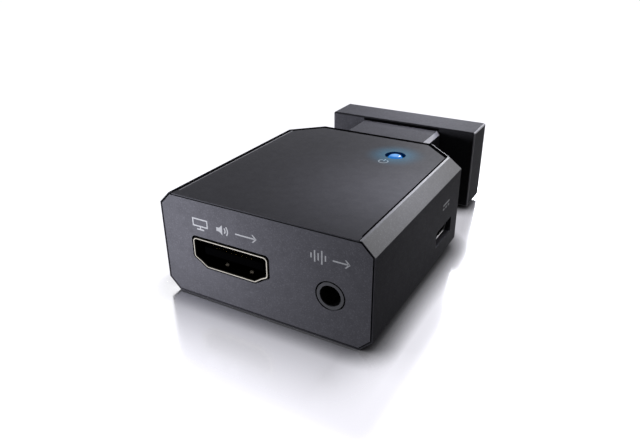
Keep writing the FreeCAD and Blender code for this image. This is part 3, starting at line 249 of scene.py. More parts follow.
def plated(name, color, rough, depth=0.0008):
    """Plated metal with small stains and a finely uneven surface."""
    material = Shader(name, color, rough, metallic=1.0)
    stain = material.noise(0.9, detail=4.0)
    material.color(material.mix(material.scale(stain, 0.35, 0.75, 0.0, 1.0), color, shade(color, 0.8)))
    uneven = material.noise(0.12)
    material.rough(material.scale(uneven, 0.3, 0.7, rough - 0.06, rough + 0.08))
    material.bump(uneven, depth)
    return material.material


def shell_metal(name, color, rough, axis, mouth_mm, inward):
    """Tin plated sheet with painted shade that goes dark a little way inside the socket's mouth."""
    material = Shader(name, color, rough, metallic=1.0)
    stain = material.noise(0.8, detail=4.0)
    metal = material.mix(material.scale(stain, 0.35, 0.75, 0.0, 1.0), color, shade(color, 0.85))
    # Painted shade: the colour goes near black a little way past the mouth.
    low, high = sorted((mouth_mm * MM, (mouth_mm + inward * 0.45) * MM))
    ends = (0.0, 1.0) if inward > 0 else (1.0, 0.0)
    depth = material.scale(material.axis(axis), low, high, *ends)
    material.color(material.mix(depth, metal, shade(color, 0.03)))
    material.rough(material.scale(material.noise(0.15), 0.3, 0.7, rough - 0.05, rough + 0.08))
    material.bump(material.noise(0.1), 0.0006)
    return material.material


def board_material(name):
    """Green solder mask with faint tracks under it."""
    color = (0.012, 0.11, 0.045)
    material = Shader(name, color, 0.28)
    tracks = material.add("ShaderNodeTexBrick", offset=0.35)
    tracks.inputs["Scale"].default_value = 700.0
    tracks.inputs["Color1"].default_value = (*shade(color, 1.5), 1.0)
    tracks.inputs["Color2"].default_value = (*shade(color, 1.15), 1.0)
    tracks.inputs["Mortar"].default_value = (*color, 1.0)
    tracks.inputs["Mortar Size"].default_value = 0.03
    material.link(material.place, tracks.inputs["Vector"])
    material.color(material.mix(material.noise(1.2), tracks.outputs["Color"], shade(color, 0.8)))
    material.bump(tracks.outputs["Fac"], 0.004)
    return material.material


def lens_material(name):
    """Lit blue lens: pale blue in the middle of the dome and deep blue towards its rim."""
    color = (0.002, 0.008, 0.03)
    dome = (8.0 * MM, (33.75 + FRONT_Y) * MM, 18.35 * MM)
    material = Shader(name, color, 0.15, specular=0.2)
    offset = material.add("ShaderNodeVectorMath", operation="DISTANCE")
    offset.inputs[1].default_value = dome
    material.link(material.place, offset.inputs[0])
    reach = material.scale(offset.outputs["Value"], 0.15 * MM, 1.25 * MM, 0.0, 1.0)
    glow = material.mix(reach, (0.10, 0.44, 0.98), (0.0, 0.17, 0.56))
    material.color(material.mix(material.noise(0.4), color, shade(color, 0.7)))
    material.link(glow, material.shader.inputs["Emission Color"])
    material.set("Emission Strength", 0.85)
    return material.material


def mark_material(name, color):
    """Printed ink."""
    material = Shader(name, color, 0.55)
    material.color(material.mix(material.noise(0.15, detail=3.0), shade(color, 0.8), shade(color, 1.1)))
    material.bump(material.noise(0.1), 0.001)
    return material.material


def can_material(name):
    """Drawn aluminium can with dark printed patches."""
    color = (0.72, 0.72, 0.72)
    material = Shader(name, color, 0.3, metallic=1.0)
    patches = material.scale(material.noise(2.5, detail=0.0), 0.55, 0.57, 0.0, 1.0)
    material.color(material.mix(patches, color, (0.05, 0.05, 0.06)))
    material.bump(material.noise(0.2, stretch=(1.0, 1.0, 0.1)), 0.002)
    return material.material


def small_part(name, color):
    """Body of a small part on the board, with a fine grain."""
    material = Shader(name, color, 0.4)
    grain = material.noise(0.2, detail=3.0)
    material.color(material.mix(grain, shade(color, 0.85), shade(color, 1.15)))
    material.bump(grain, 0.002)
    return material.material


# One paint, in shades that stand in for the photograph's light and shade face by face.
# For the plain paint, each shade(PAINT, ...) below becomes PAINT itself.
PAINT = (0.050, 0.0490, 0.0565)
STEEL = (0.72, 0.69, 0.60)
materials = {
    # A darker shade of the paint: painted shade on the sides and underside of the housing and the hood.
    "case": painted("case_painted_shade", shade(PAINT, 0.75), 0.44, 0.006, grain=0.6),
    # Glossier paint on the top chamfers, in a lighter shade as painted highlight.
    "chamfer": painted("chamfer_gloss_painted_highlight", shade(PAINT, 1.15), 0.36, 0.85, grain=1.4),
    # A much lighter, glossy shade on the softened long edges: painted highlight.
    "edge": painted("edge_painted_highlight", shade(PAINT, 1.8), 0.33, 0.9, grain=0.5),
    "seam": painted("seam_shadow", shade(PAINT, 0.06), 0.6, 0.0, grain=0.2),
    "front_seam": painted("front_seam_shadow", shade(PAINT, 0.4), 0.6, 0.0, grain=0.2),
    # Three times lighter: painted highlight on the top plate's left strip and the rim's rear right cut.
    "rim_line": painted("rim_line_painted_highlight", shade(PAINT, 3.0), 0.3, 0.12, grain=0.2),
    # A lighter shade: painted highlight on the right rim and on the sill of the power socket's window.
    "rim": painted("rim_painted_highlight", shade(PAINT, 2.4), 0.36, 0.15, grain=0.2),
    # A lighter shade: painted light on the front plate.
    "face": painted("face_painted_light", shade(PAINT, 1.4), 0.44, 0.04, grain=0.6),
    "cover": painted("cover_paint", shade(PAINT, 1.0), 0.42, 0.015, grain=0.25),
    # A slightly lighter shade: painted light on the hood's plain faces.
    "hood": painted("hood_painted_light", shade(PAINT, 1.2), 0.44, 0.004, grain=0.7),
    # Half the shade: painted shadow on the hood's front face right of the neck.
    "hood_shade": painted("hood_painted_shadow", shade(PAINT, 0.5), 0.44, 0.002, grain=0.6),
    # A lighter shade: painted light on the tops of the hood and the neck.
    "hood_top": painted("hood_top_painted_light", shade(PAINT, 1.5), 0.44, 0.01, grain=0.7),
    # A lighter, glossier shade: painted highlight on the hood's rounded edges.
    "hood_edge": painted("hood_edge_painted_highlight", shade(PAINT, 1.8), 0.34, 0.3, grain=0.3),
    # Ten times lighter and glossy: painted highlight on the neck's chamfers and the hood's right top edge.
    "neck_chamfer": painted("neck_chamfer_painted_highlight", shade(PAINT, 10.0), 0.22, 1.0, grain=0.3),
    # Near black with a blue cast: painted shade and painted blue lamp light on the wall of the lamp's hole.
    "lamp_hole": painted("lamp_hole_painted_shade", (0.004, 0.012, 0.035), 0.5, 0.0, grain=0.2),
    "mark": mark_material("printed_grey", (0.31, 0.31, 0.33)),
    "mark_faint": mark_material("printed_faint_grey", (0.15, 0.15, 0.16)),
    # A darker copy of the grey print: painted shade where the lamp's blue glow falls on the power mark.
    "mark_dim": mark_material("printed_grey_painted_shade", (0.13, 0.13, 0.14)),
    "hdmi": plated("socket_steel", STEEL, 0.28),
    # Steel darkened to near black: painted shade on the HDMI shell, darkest inside its mouth.
    "hdmi_dark": shell_metal("socket_inside_painted_shade", shade(STEEL, 0.05), 0.4, "Y", FRONT_Y - 0.12, 1.0),
    # Steel in a much darker shade: painted shade on the springs inside the HDMI socket.
    "spring": plated("spring_steel_painted_shade", (0.14, 0.125, 0.105), 0.3),
    "usb": plated("side_socket_steel", (0.8, 0.8, 0.8), 0.25),
    # Steel darkened to grey: painted shade on the power socket's shell, darker inside its mouth.
    "usb_dark": shell_metal("side_socket_painted_shade", (0.1, 0.1, 0.1), 0.4, "X", POWER_MOUTH, -1.0),
    "plug": plated("plug_nickel", (0.58, 0.58, 0.59), 0.26, depth=0.00015),
    "tin": plated("tinned_copper", (0.72, 0.71, 0.69), 0.32),
    "gold": plated("gold_plate", (0.92, 0.62, 0.20), 0.22),
    "zinc": plated("zinc_plate", (0.55, 0.55, 0.57), 0.34),
    # Blacker than black plastic and without gloss: black plastic with painted shade, inside the sockets.
    "black": plastic("socket_black", (0.0008, 0.0008, 0.001), 0.7, specular=0.0),
    "blue": plastic("plug_blue", (0.015, 0.07, 0.36), 0.42),
    "ring": bore_plastic("jack_ring", (0.06, 0.06, 0.066), 0.4),
    "chip": plastic("chip_black", (0.016, 0.016, 0.018), 0.5),
    "coil": plastic("ferrite", (0.05, 0.048, 0.047), 0.6),
    "lamp": plastic("lamp_package", (0.8, 0.82, 0.6), 0.3),
    "board": board_material("solder_mask"),
    "lens": lens_material("lamp_lens"),
    "can": can_material("drawn_can"),
    "ceramic": small_part("ceramic_tan", (0.36, 0.25, 0.15)),
    "resistor": small_part("resistor_black", (0.02, 0.02, 0.022)),
}

FINISHES_OR_SHADES = {
    "housing": "case", "top_plate": "cover", "front_plate": "face", "hood_top": "hood", "hood_bottom": "hood",
    "vga_shell": "plug", "vga_rear_shell": "plug", "vga_insulator": "blue", "vga_pins": "gold",
    "plug_board": "board", "board_link_pins": "tin", "main_board": "board", "board_screws": "zinc",
    "led_chip": "lamp", "light_pipe": "lens", "hdmi_shell": "hdmi", "hdmi_insulator": "black",
    "hdmi_contacts": "gold", "jack_bushing": "ring", "jack_body": "black", "jack_terminals": "tin",
    "jack_tip_spring": "tin", "jack_ring_spring": "tin", "usb_shell": "usb", "usb_insulator": "black",
    "usb_contacts": "gold", "converter_chip": "chip", "converter_chip_leads": "tin", "audio_chip": "chip",
    "audio_chip_leads": "tin", "memory_chip": "chip", "memory_chip_leads": "tin", "regulator": "chip",
    "regulator_leads": "tin", "inductor": "coil", "crystal": "zinc", "electrolytic_capacitors": "can",
    "resistors": "resistor", "ceramic_capacitors": "ceramic",
}


def dress_nodes():
    """Give every carried-over node its finish; the painted ones take shades of one paint that stand in for
    light and shade.
    """
    for name, finish_or_shade in FINISHES_OR_SHADES.items():
        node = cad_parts[name]
        node.data.materials.clear()
        node.data.materials.append(materials[finish_or_shade])


# Copies of carried-over nodes with finer edges, and shades of one paint face by face as painted light and
# shade

def copy_form(node):
    """The node's mesh with its corners joined and its flat faces made whole."""
    form = bmesh.new()
    form.from_mesh(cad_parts[node].data)
    bmesh.ops.remove_doubles(form, verts=form.verts, dist=SAME)
    bmesh.ops.dissolve_limit(form, angle_limit=math.radians(0.4), verts=form.verts, edges=form.edges)
    return form


def cut_along(form, cuts):
    """Cut faces along planes, each a place and a direction, so that each side can have its own finish or
    painted shade.
    """
    for place, way in cuts:
        whole = form.verts[:] + form.edges[:] + form.faces[:]
        bmesh.ops.bisect_plane(form, geom=whole, plane_co=place, plane_no=way)


def numbered(finishes_or_shades):
    """Place of each finish or painted shade in a piece's list of materials."""
    return {finish_or_shade: number for number, finish_or_shade in enumerate(finishes_or_shades)}


def finish_copy(form, name, node, finishes_or_shades):
    """Make an object of the form that stands for the node."""
    mesh = bpy.data.meshes.new(name)
    bmesh.ops.triangulate(form, faces=[face for face in form.faces if len(face.verts) > 4])
    form.to_mesh(mesh)
    form.free()
    for finish_or_shade in finishes_or_shades:
        mesh.materials.append(materials[finish_or_shade])
    piece = bpy.data.objects.new(name, mesh)
    bpy.context.scene.collection.objects.link(piece)
    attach(piece, "case")
    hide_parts(node)


def outer_planes(node):
    """Outward planes of the housing's block: four sides and four long chamfers, as (normal, reach)."""
    low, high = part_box(node)
    half, height, cut = high[0], high[2], BEVEL * MM
    slope = math.sqrt(0.5)
    planes = [((1, 0, 0), half), ((-1, 0, 0), half), ((0, 0, 1), height), ((0, 0, -1), 0.0)]
    planes += [((side * slope, 0, slope), slope * (half + height - cut)) for side in (1, -1)]
    planes += [((side * slope, 0, -slope), slope * (half - cut)) for side in (1, -1)]
    return [(Vector(normal), reach) for normal, reach in planes]


def make_housing():
    """Housing with softened long edges and glossy top chamfers, painted shadow in its seams and painted
    highlights on its rims and edges.
    """
    finishes_or_shades = ("case", "chamfer", "edge", "seam", "front_seam", "rim_line", "rim")
    number = numbered(finishes_or_shades)
    form = copy_form("housing")
    planes = outer_planes("housing")
    height = planes[TOP_PLANE][1]
    side = max(vert.co.x for vert in form.verts if vert.co.z > height - SAME)
    corner = max(vert.co.y for vert in form.verts if vert.co.z > height - SAME and vert.co.x > side - SAME)
    cut = side + corner - EDGE_ROUND * MM
    cut_along(form, (((0, corner, 0), (0, 1, 0)), ((cut, 0, 0), (1, 1, 0))))

    def on_outside(face):
        """Number of the outer plane that the face lies on, or -1."""
        for index, (normal, reach) in enumerate(planes):
            away = abs(face.calc_center_median().dot(normal) - reach)
            if face.normal.dot(normal) > 0.999 and away < NEAR:
                return index
        return -1

    form.normal_update()
    kinds = {face: on_outside(face) for face in form.faces}
    long_edges = []
    for edge in form.edges:
        sides = [kinds[face] for face in edge.link_faces]
        if len(sides) == 2 and min(sides) >= 0 and sides[0] != sides[1]:
            long_edges.append(edge)
    for face in form.faces:
        middle = face.calc_center_median()
        reach = max(face.normal.dot(vert.co) for vert in form.verts)
        inside = reach - face.normal.dot(face.verts[0].co) > NEAR
        on_top = kinds[face] == TOP_PLANE
        rear_rim = on_top and middle.y > corner
        power_sill = inside and face.normal.z > 0.9 and middle.x > 17 * MM and middle.z < 10 * MM
        top_seam = inside and middle.z > PLATE_SEAT * MM
        front_seam = inside and middle.y < (FRONT_Y + FRONT_RECESS) * MM
        left_rim = on_top and middle.x < 0
        # Painted highlight on the rear right cut, the power sill and the right rim; painted shadow in the
        # seams, on the rear and left rims and in the front recess.
        if rear_rim and middle.x + middle.y > cut:
            finish_or_shade = "rim_line"
        elif power_sill:
            finish_or_shade = "rim"
        elif top_seam or rear_rim:
            finish_or_shade = "seam"
        elif front_seam or left_rim:
            finish_or_shade = "front_seam"
        elif on_top:
            finish_or_shade = "rim"
        else:
            # Top chamfers take a lighter, glossier shade as painted highlight; the rest a darker shade as
            # painted shade.
            finish_or_shade = "chamfer" if kinds[face] in TOP_CHAMFERS else "case"
        face.material_index = number[finish_or_shade]
    # The softened long edges take the lighter shade as painted highlight.
    bmesh.ops.bevel(form, geom=long_edges, offset=EDGE_ROUND * MM, segments=3, profile=0.5, affect="EDGES",
                    clamp_overlap=True, material=number["edge"])
    finish_copy(form, "housing_shell", "housing", finishes_or_shades)


def make_top_plate():
    """Top plate: painted shadow along its broken edge, a painted highlight strip at its left and painted shade
    with painted blue lamp light in the lamp hole.
    """
    finishes_or_shades = ("cover", "seam", "rim_line", "lamp_hole")
    number = numbered(finishes_or_shades)
    form = copy_form("top_plate")
    low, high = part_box("top_plate")
    strip_side, strip_front = low[0] + 0.48 * MM, low[1] + 1.5 * MM
    cut_along(form, (((strip_side, 0, 0), (1, 0, 0)), ((0, strip_front, 0), (0, 1, 0))))
    form.normal_update()
    top = max(vert.co.z for vert in form.verts)
    middle = (Vector(low) + Vector(high)) / 2
    for face in form.faces:
        centre = face.calc_center_median()
        # The strip at the left takes the light shade as painted highlight.
        lit = face.normal.z > 0.99 and centre.x < strip_side and centre.y > strip_front
        face.material_index = number["rim_line" if lit else "cover"]
    outline = []
    for edge in form.edges:
        flat = [face for face in edge.link_faces
                if face.normal.z > 0.999 and abs(edge.verts[0].co.z - top) < SAME]
        wall = [face for face in edge.link_faces if abs(face.normal.z) < 0.1]
        if len(flat) != 1 or len(wall) != 1:
            continue
        centre = (edge.verts[0].co + edge.verts[1].co) / 2
        outward = wall[0].normal.dot(centre - middle) > 0
        on_rim = any(abs(abs(centre[axis] - middle[axis]) - (high[axis] - low[axis]) / 2) < 3 * MM
                     for axis in (0, 1))
        if outward and on_rim and edge.calc_length() > 2 * MM and wall[0].normal.y > -0.5:
            outline.append(edge)
        elif not on_rim:
            # The lamp hole's wall takes painted shade with painted blue lamp light.
            wall[0].material_index = number["lamp_hole"]
    # The broken edge takes the near-black shade as painted shadow of the gap round the plate.
    bmesh.ops.bevel(form, geom=outline, offset=0.19 * MM, segments=1, affect="EDGES",
                    material=number["seam"])
    finish_copy(form, "top_plate_skin", "top_plate", finishes_or_shades)


def make_hood(node):
    """Half of the hood in shades of its paint by face: painted highlights on its chamfers and edges, painted
    light on its top, painted shade on its sides, and painted shadow over and right of the neck and along its
    top front edge.
    """
    finishes_or_shades = ("hood", "neck_chamfer", "hood_edge", "case", "hood_top", "front_seam", "seam", "hood_shade")
    number = numbered(finishes_or_shades)
    form = copy_form(node)
    neck_top, neck_side = NECK_TOP * MM, NECK_SIDE * MM
    across = (1, 0, 0)
    cut_along(form, (((0, 0, neck_top), (0, 0, 1)), ((neck_side, 0, 0), across), ((-neck_side, 0, 0), across)))
    form.normal_update()
    for face in form.faces:
        middle = face.calc_center_median()
        normal = face.normal
        slanted = max(abs(part) for part in normal) < 0.995
        to_front = normal.y < -0.9
        # Painted shadow over and right of the neck and on the rounded top front edge; painted highlight on the
        # chamfers and other rounded edges; painted shade on the sides; painted light on the top.
        if to_front and middle.z > neck_top and abs(middle.x) < neck_side:
            finish_or_shade = "seam"
        elif to_front and middle.x > neck_side:
            finish_or_shade = "hood_shade"
        elif slanted and normal.x > 0.3 and normal.z > 0.3:
            finish_or_shade = "neck_chamfer"
        elif slanted and face.calc_area() > 4 * MM * MM:
            finish_or_shade = "neck_chamfer"
        elif slanted:
            finish_or_shade = "front_seam" if normal.y < -0.1 and normal.z > 0.1 else "hood_edge"
        elif abs(normal.x) > 0.9:
            finish_or_shade = "case"
        else:
            finish_or_shade = "hood_top" if normal.z > 0.9 and face.verts[0].co.z > 16.5 * MM else "hood"
        face.material_index = number[finish_or_shade]
    finish_copy(form, node + "_shell", node, finishes_or_shades)


def make_lens():
    """Lamp lens whose dome stands nearly level with the plate."""
    form = copy_form("light_pipe")
    low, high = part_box("light_pipe")
    shoulder, taller, wider = 17.77 * MM, 1.22, 1.05
    for vert in form.verts:
        if vert.co.z > shoulder - NEAR:
            vert.co.z = shoulder + (vert.co.z - shoulder) * taller
            for axis in (0, 1):
                centre = (low[axis] + high[axis]) / 2
                vert.co[axis] = centre + (vert.co[axis] - centre) * wider
    finish_copy(form, "lamp_dome", "light_pipe", ("lens",))


def add_floor_springs():
    """Two leaf springs that bulge from the floor of the HDMI shell behind its mouth."""
    low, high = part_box("hdmi_shell")
    middle = (low[0] + high[0]) / 2
    floor = high[2] - (SHEET * 2 + HDMI_HEIGHT) * MM + SHEET * MM
    steps = 12
    section = ((-1.0, 0.1), (-0.8, 0.02), (0.8, 0.02), (1.0, 0.1))
    for name, side in (("socket_spring_left", -1), ("socket_spring_right", 1)):
        form = bmesh.new()
        centre = middle + (0.5 + side * 2.46) * MM
        rows = []
        for step in range(steps + 1):
            share = step / steps
            lift = (0.04 + 0.45 * math.sin(math.pi * share) ** 1.5) * MM
            y = low[1] + (1.5 + 1.3 * share) * MM
            half = (0.36 - 0.08 * share) * MM
            rows.append([form.verts.new((centre + across * half, y, floor + lift - drop * MM))
                         for across, drop in section])
        for first, second in zip(rows, rows[1:]):
            for index in range(len(section) - 1):
                form.faces.new((first[index], first[index + 1], second[index + 1], second[index]))
        bmesh.ops.solidify(form, geom=form.faces[:], thickness=0.12 * MM)
        mesh = bpy.data.meshes.new(name)
        form.to_mesh(mesh)
        form.free()
        mesh.materials.append(materials["spring"])
        piece = bpy.data.objects.new(name, mesh)
        bpy.context.scene.collection.objects.link(piece)
        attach(piece, "case")


def make_side_shell():
    """Power socket's shell in painted shade, with one bright line of its own steel along the lower lip of its
    mouth.
    """
    finishes_or_shades = ("usb", "usb_dark")
    number = numbered(finishes_or_shades)
    form = copy_form("usb_shell")
    form.normal_update()
    mouth = max(vert.co.x for vert in form.verts)
    low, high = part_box("usb_shell")
    centre = (Vector(low) + Vector(high)) / 2
    lip = []
    for face in form.faces:
        # Painted shade on every face but the lip.
        face.material_index = number["usb_dark"]
        if face.normal.dot(face.calc_center_median() - centre) < 0 and face.normal.z > 0.9:
            lip += [edge for edge in face.edges
                    if all(abs(vert.co.x - mouth) < SAME for vert in edge.verts)]
    bmesh.ops.bevel(form, geom=lip, offset=0.1 * MM, segments=2, profile=0.5, affect="EDGES",
                    material=number["usb"])
    finish_copy(form, "usb_shell_lip", "usb_shell", finishes_or_shades)


def make_socket_shell():
    """HDMI shell in painted shade, near black, with one thin bright line of its own steel round its mouth
    where the sheet's edge is rounded.
    """
    finishes_or_shades = ("hdmi", "hdmi_dark")
    number = numbered(finishes_or_shades)
    form = copy_form("hdmi_shell")
    form.normal_update()
    front = min(vert.co.y for vert in form.verts)
    # Painted shade on every face; the ring at the mouth keeps the steel's own colour.
    for face in form.faces:
        face.material_index = number["hdmi_dark"]
    ring = [face for face in form.faces
            if face.normal.y < -0.99 and abs(face.calc_center_median().y - front) < SAME]
    rim = bmesh.ops.inset_region(form, faces=ring, thickness=0.11 * MM, depth=0.0, use_boundary=True)
    for face in ring:
        face.material_index = number["hdmi"]
    ring_verts = {vert for face in ring for vert in face.verts}
    for vert in {vert for face in rim["faces"] for vert in face.verts} - ring_verts:
        if abs(vert.co.y - front) < SAME:
            vert.co.y += 0.06 * MM
    finish_copy(form, "hdmi_shell_rim", "hdmi_shell", finishes_or_shades)


# Printed marks, in millimetres: plain pictograms where the photograph has words

def ring_part(radius, width, start, end, steps):
    """Outline of part of a ring, from one angle to another in degrees."""
    angles = [math.radians(start + (end - start) * index / steps) for index in range(steps + 1)]
    outer = [(math.cos(a) * (radius + width / 2), math.sin(a) * (radius + width / 2)) for a in angles]
    inner = [(math.cos(a) * (radius - width / 2), math.sin(a) * (radius - width / 2)) for a in angles]
    return outer + inner[::-1]


def bar(x0, y0, x1, y1):
    return [(x0, y0), (x1, y0), (x1, y1), (x0, y1)]


def moved(shapes, dx, dy):
    return [[(x + dx, y + dy) for x, y in shape] for shape in shapes]


def scaled(shapes, share):
    return [[(x * share, y * share) for x, y in shape] for shape in shapes]


def screen_mark(stroke):
    """A display on a foot, 2.6 wide, about its middle."""
    w, h, foot = 1.3, 0.62, 0.28
    return moved([
        bar(-w, -h, w, -h + stroke), bar(-w, h - stroke, w, h),
        bar(-w, -h + stroke, -w + stroke, h - stroke), bar(w - stroke, -h + stroke, w, h - stroke),
        bar(-stroke / 2, -h - foot, stroke / 2, -h), bar(-0.6, -h - foot - stroke, 0.6, -h - foot),
    ], 0.0, 0.2)


def arrow_mark(length, stroke):
    """An arrow to the right about its middle."""
    tip = length / 2
    head = 0.55
    return [
        bar(-tip, -stroke / 2, tip - stroke, stroke / 2),
        [(tip, 0), (tip - head, head), (tip - head - stroke * 1.1, head), (tip - stroke * 1.4, 0)],
        [(tip, 0), (tip - stroke * 1.4, 0), (tip - head - stroke * 1.1, -head), (tip - head, -head)],
    ]


def speaker_mark(stroke):
    """A loudspeaker with two sound waves, about its middle."""
    cone = [(-1.0, -0.28), (-0.55, -0.28), (-0.05, -0.75), (-0.05, 0.75), (-0.55, 0.28), (-1.0, 0.28)]
    return [cone] + moved([ring_part(radius, stroke, -38, 38, 14) for radius in (0.62, 1.02)], -0.2, 0)


def wave_mark(stroke):
    """Five upright bars of a sound level."""
    marks = []
    for index, height in enumerate((0.35, 0.8, 0.5, 0.95, 0.4)):
        x = -1.1 + 0.5 * index
        marks.append(bar(x - stroke / 2, -height, x + stroke / 2, height))
    return marks


def power_mark(radius, stroke):
    """A ring open at the top with a bar in the gap."""
    ring = ring_part(radius, stroke, 120, 420, 48)
    return [ring, bar(-stroke / 2, radius * 0.15, stroke / 2, radius * 1.35)]


def supply_mark(stroke):
    """A long bar over three short ones, for direct current."""
    short = [bar(x, -0.25, x + 0.5, -0.25 + stroke) for x in (-1.1, -0.25, 0.6)]
    return [bar(-1.1, 0.25, 1.1, 0.25 + stroke)] + short


def print_mark(name, shapes, centre, right, up, finish_or_shade="mark", lift=0.012):
    """Thin raised print: flat shapes at a place on a face, lifted from it and sunk a little into it."""
    sunk = 0.002
    right, up = Vector(right), Vector(up)
    out = right.cross(up)
    mesh = bpy.data.meshes.new(name)
    form = bmesh.new()
    for shape in shapes:
        area = sum(shape[i - 1][0] * shape[i][1] - shape[i][0] * shape[i - 1][1] for i in range(len(shape)))
        ordered = shape if area > 0 else shape[::-1]
        spots = [(Vector(centre) + right * x + up * y) * MM for x, y in ordered]
        top = [form.verts.new(spot + out * lift * MM) for spot in spots]
        foot = [form.verts.new(spot - out * sunk * MM) for spot in spots]
        form.faces.new(top)
        form.faces.new(foot[::-1])
        for i in range(len(spots)):
            j = (i + 1) % len(spots)
            form.faces.new((foot[i], foot[j], top[j], top[i]))
    form.normal_update()
    form.to_mesh(mesh)
    form.free()
    piece = bpy.data.objects.new(name, mesh)
    mesh.materials.append(materials[finish_or_shade])
    bpy.context.scene.collection.objects.link(piece)
    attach(piece, "case")


def add_marks():
    """Pictograms over the two front sockets, over the power socket and by the lamp."""
    stroke = 0.2
    to_right, to_rear, upward = (1, 0, 0), (0, 1, 0), (0, 0, 1)
    front_marks = (
        ("mark_screen", screen_mark(stroke), -11.4, 14.2),
        ("mark_speaker", speaker_mark(stroke), -6.9, 14.2),
        ("mark_out", arrow_mark(3.4, stroke), -2.4, 14.2),
        ("mark_sound", wave_mark(stroke), 10.6, 14.25),
        ("mark_in", arrow_mark(2.4, stroke), 14.3, 14.25),
    )
    for name, shapes, x, z in front_marks:
        print_mark(name, scaled(shapes, 1.2), (x, FRONT_Y, z), to_right, upward)
    supply = scaled(supply_mark(0.26), 1.5)
    print_mark("mark_supply", supply, (RIGHT_X, -3.9, 11.9), to_rear, upward, "mark_faint", 0.001)
    power = power_mark(0.85, 0.22)
    # The power mark takes the darker copy of the print as painted shade under the lamp's glow.
    print_mark("mark_power", power, (7.4, 29.5 + FRONT_Y, PLATE_TOP), to_right, to_rear, "mark_dim")


# Light and floor

def add_light(name, place, target, size, power):
    """A soft box, size millimetres square, that faces a target and isn't seen itself."""
    data = bpy.data.lights.new(name, "AREA")
    data.shape = "RECTANGLE"
    data.size, data.size_y = size * MM, size * MM
    data.energy = power
    data.color = (0.94, 0.96, 1.0)
    light = bpy.data.objects.new(name, data)
    light.location = Vector(place) * MM
    direction = (Vector(target) - Vector(place)).normalized()
    light.rotation_euler = direction.to_track_quat("-Z", "Y").to_euler()
    light.visible_camera = False
    bpy.context.scene.collection.objects.link(light)
    return light


def seen_share(tree):
    """1 for rays that reach the camera directly, by reflection or through clear material, else 0."""
    path = tree.nodes.new("ShaderNodeLightPath")
    total = path.outputs["Is Camera Ray"]
    for name in ("Is Glossy Ray", "Is Transmission Ray"):
        total = tree_math(tree, "MAXIMUM", total, path.outputs[name])
    direct = tree_math(tree, "LESS_THAN", path.outputs["Diffuse Depth"], 0.5)
    return tree_math(tree, "MULTIPLY", total, direct)


def add_world():
    """White to the eye and in reflections, dimmer as a source of light."""
    world = bpy.data.worlds.new("world")
    bpy.context.scene.world = world
    world.use_nodes = True
    tree = world.node_tree
    background = tree.nodes["Background"]
    background.inputs["Color"].default_value = (1.0, 1.0, 1.0, 1.0)
    strength = tree_scale(tree, seen_share(tree), 0.0, 1.0, AMBIENT, 1.0)
    tree.links.new(strength, background.inputs["Strength"])


def floor_mirror(tree):
    """Share of the floor that mirrors, set place by place to match the photograph's reflections."""
    place = tree.nodes.new("ShaderNodeSeparateXYZ")
    coords = tree.nodes.new("ShaderNodeTexCoord")
    tree.links.new(coords.outputs["Object"], place.inputs[0])
    x, y = place.outputs["X"], place.outputs["Y"]

    # Close to the front, and more at its left than at its right
    ahead = tree_math(tree, "SUBTRACT", y, FRONT_Y * MM)
    near_front = tree_scale(tree, tree_math(tree, "ABSOLUTE", ahead), 0.0, 15 * MM, 1.0, 0.0)
    aside = tree_math(tree, "ABSOLUTE", tree_math(tree, "ADD", x, 1.5 * MM))
    in_front = tree_scale(tree, aside, 17 * MM, 25 * MM, 1.0, 0.0)
    to_side = tree_scale(tree, x, -20 * MM, 20 * MM, 0.74, 0.5)
    close = tree_math(tree, "MULTIPLY", tree_math(tree, "MULTIPLY", near_front, in_front), to_side)

    # Behind the body, and along its right side
    at_rear = tree_scale(tree, y, -3 * MM, 11 * MM, 0.0, 0.25)
    to_right = tree_scale(tree, x, 8 * MM, 21 * MM, 0.0, 0.1)
    beside = tree_scale(tree, y, -39 * MM, -31 * MM, -0.2, 1.0)
    everywhere = 0.19
    at_right = tree_math(tree, "ADD", tree_math(tree, "MULTIPLY", to_right, beside), everywhere)
    return tree_math(tree, "ADD", tree_math(tree, "ADD", close, at_rear), at_right)


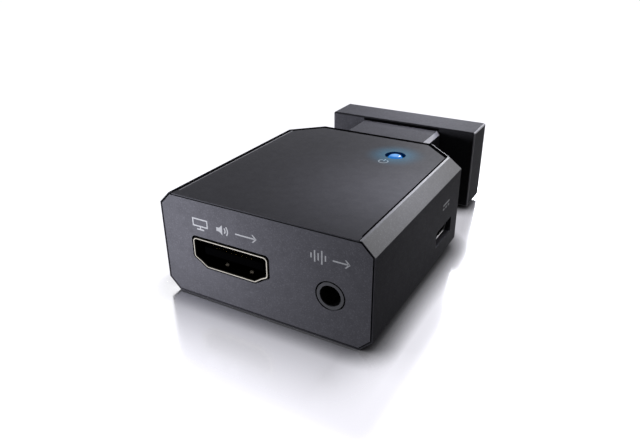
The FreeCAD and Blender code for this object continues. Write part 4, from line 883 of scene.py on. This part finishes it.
def add_floor():
    """White floor that mirrors by place, with a glow for the eye and reflections that fades by the object as
    painted contact shadow.
    """
    material = bpy.data.materials.new("floor_white")
    material.use_nodes = True
    tree = material.node_tree
    tree.nodes.remove(tree.nodes["Principled BSDF"])
    # Painted contact shadow: the glow fades where the object shades the floor.
    shade_near = tree.nodes.new("ShaderNodeAmbientOcclusion")
    shade_near.inputs["Distance"].default_value = 4.5 * MM
    open_share = tree_math(tree, "POWER", shade_near.outputs["AO"], 3.2)
    mirror = floor_mirror(tree)
    grain = tree.nodes.new("ShaderNodeTexNoise")
    grain.inputs["Scale"].default_value = 60.0
    rough = tree_scale(tree, grain.outputs["Fac"], 0.0, 1.0, 0.13, 0.17)
    gloss = tree.nodes.new("ShaderNodeBsdfGlossy")
    gloss.inputs["Color"].default_value = (0.97, 0.97, 1.0, 1.0)
    tree.links.new(rough, gloss.inputs["Roughness"])
    matt = tree.nodes.new("ShaderNodeBsdfDiffuse")
    matt.inputs["Color"].default_value = (FLOOR_GREY, FLOOR_GREY, FLOOR_GREY, 1.0)
    own = tree.nodes.new("ShaderNodeEmission")
    own.inputs["Color"].default_value = (0.94, 0.93, 1.0, 1.0)
    seen_glow = tree_math(tree, "MULTIPLY", seen_share(tree), FLOOR_GLOW)
    tree.links.new(tree_math(tree, "MULTIPLY", seen_glow, open_share), own.inputs["Strength"])
    body = tree.nodes.new("ShaderNodeAddShader")
    tree.links.new(matt.outputs[0], body.inputs[0])
    tree.links.new(own.outputs[0], body.inputs[1])
    blend = tree.nodes.new("ShaderNodeMixShader")
    tree.links.new(mirror, blend.inputs[0])
    tree.links.new(body.outputs[0], blend.inputs[1])
    tree.links.new(gloss.outputs[0], blend.inputs[2])
    tree.links.new(blend.outputs[0], tree.nodes["Material Output"].inputs["Surface"])
    mesh = bpy.data.meshes.new("floor")
    half, under = 3.0, -0.00003
    corners = [(-half, -half, 0), (half, -half, 0), (half, half, 0), (-half, half, 0)]
    mesh.from_pydata(corners, [], [(0, 1, 2, 3)])
    mesh.materials.append(material)
    floor = bpy.data.objects.new("floor", mesh)
    floor.location = (0, 0, under)
    bpy.context.scene.collection.objects.link(floor)


def add_panel(name, turn, rise, width, power):
    """A soft box 350 mm away, turned from behind the object towards its right and raised, in degrees."""
    target, distance = (0, -5, 10), 350
    turn, rise = math.radians(turn), math.radians(rise)
    way = Vector((math.sin(turn) * math.cos(rise), math.cos(turn) * math.cos(rise), math.sin(rise)))
    add_light(name, Vector(target) + way * distance, target, width, power)


def add_lights():
    """Soft boxes behind, small soft lights close to the object, and the lamp's glow on the top plate."""
    add_panel("rear_box", -10, 27, 80, 0.41)
    add_panel("rear_right_box", 26, 26, 70, 0.05)
    # Name, place, target, power, spread in degrees. These don't show in reflections.
    near = [
        ("front_near", (-18, -57, 12), (-6, -34, 9), 0.0062, 180),
        ("front_far", (-50, -80, 30), (-8, -34, 9), 0.053, 180),
        ("rear_near", (3, 34, 46), (3, 21, 15), 0.0115, 180),
        ("right_near", (20, -14, 50), (16, -16, 15), 0.0034, 80),
        ("left_near", (-52, -5, 24), (-16, 20, 10), 0.0205, 180),
    ]
    for name, place, target, power, spread in near:
        light = add_light(name, place, target, 12, power)
        light.data.spread = math.radians(spread)
        light.visible_glossy = False
    glow = bpy.data.lights.new("lamp_glow", "SPOT")
    glow.energy = 0.0062
    glow.color = (0.0, 0.6, 0.95)
    glow.spot_size = math.radians(84)
    glow.spot_blend = 1.0
    glow.shadow_soft_size = 0.0002
    lamp = bpy.data.objects.new("lamp_glow", glow)
    lamp.location = (8.1 * MM, (33.45 + FRONT_Y) * MM, (HOUSING_TOP + 7.0) * MM)
    lamp.visible_glossy = False
    bpy.context.scene.collection.objects.link(lamp)


add_camera()
dress_nodes()
make_housing()
make_top_plate()
make_hood("hood_top")
make_hood("hood_bottom")
make_socket_shell()
make_side_shell()
make_lens()
add_floor_springs()
add_marks()
add_floor()
add_world()
add_lights()
bpy.context.scene.view_settings.view_transform = "Standard"
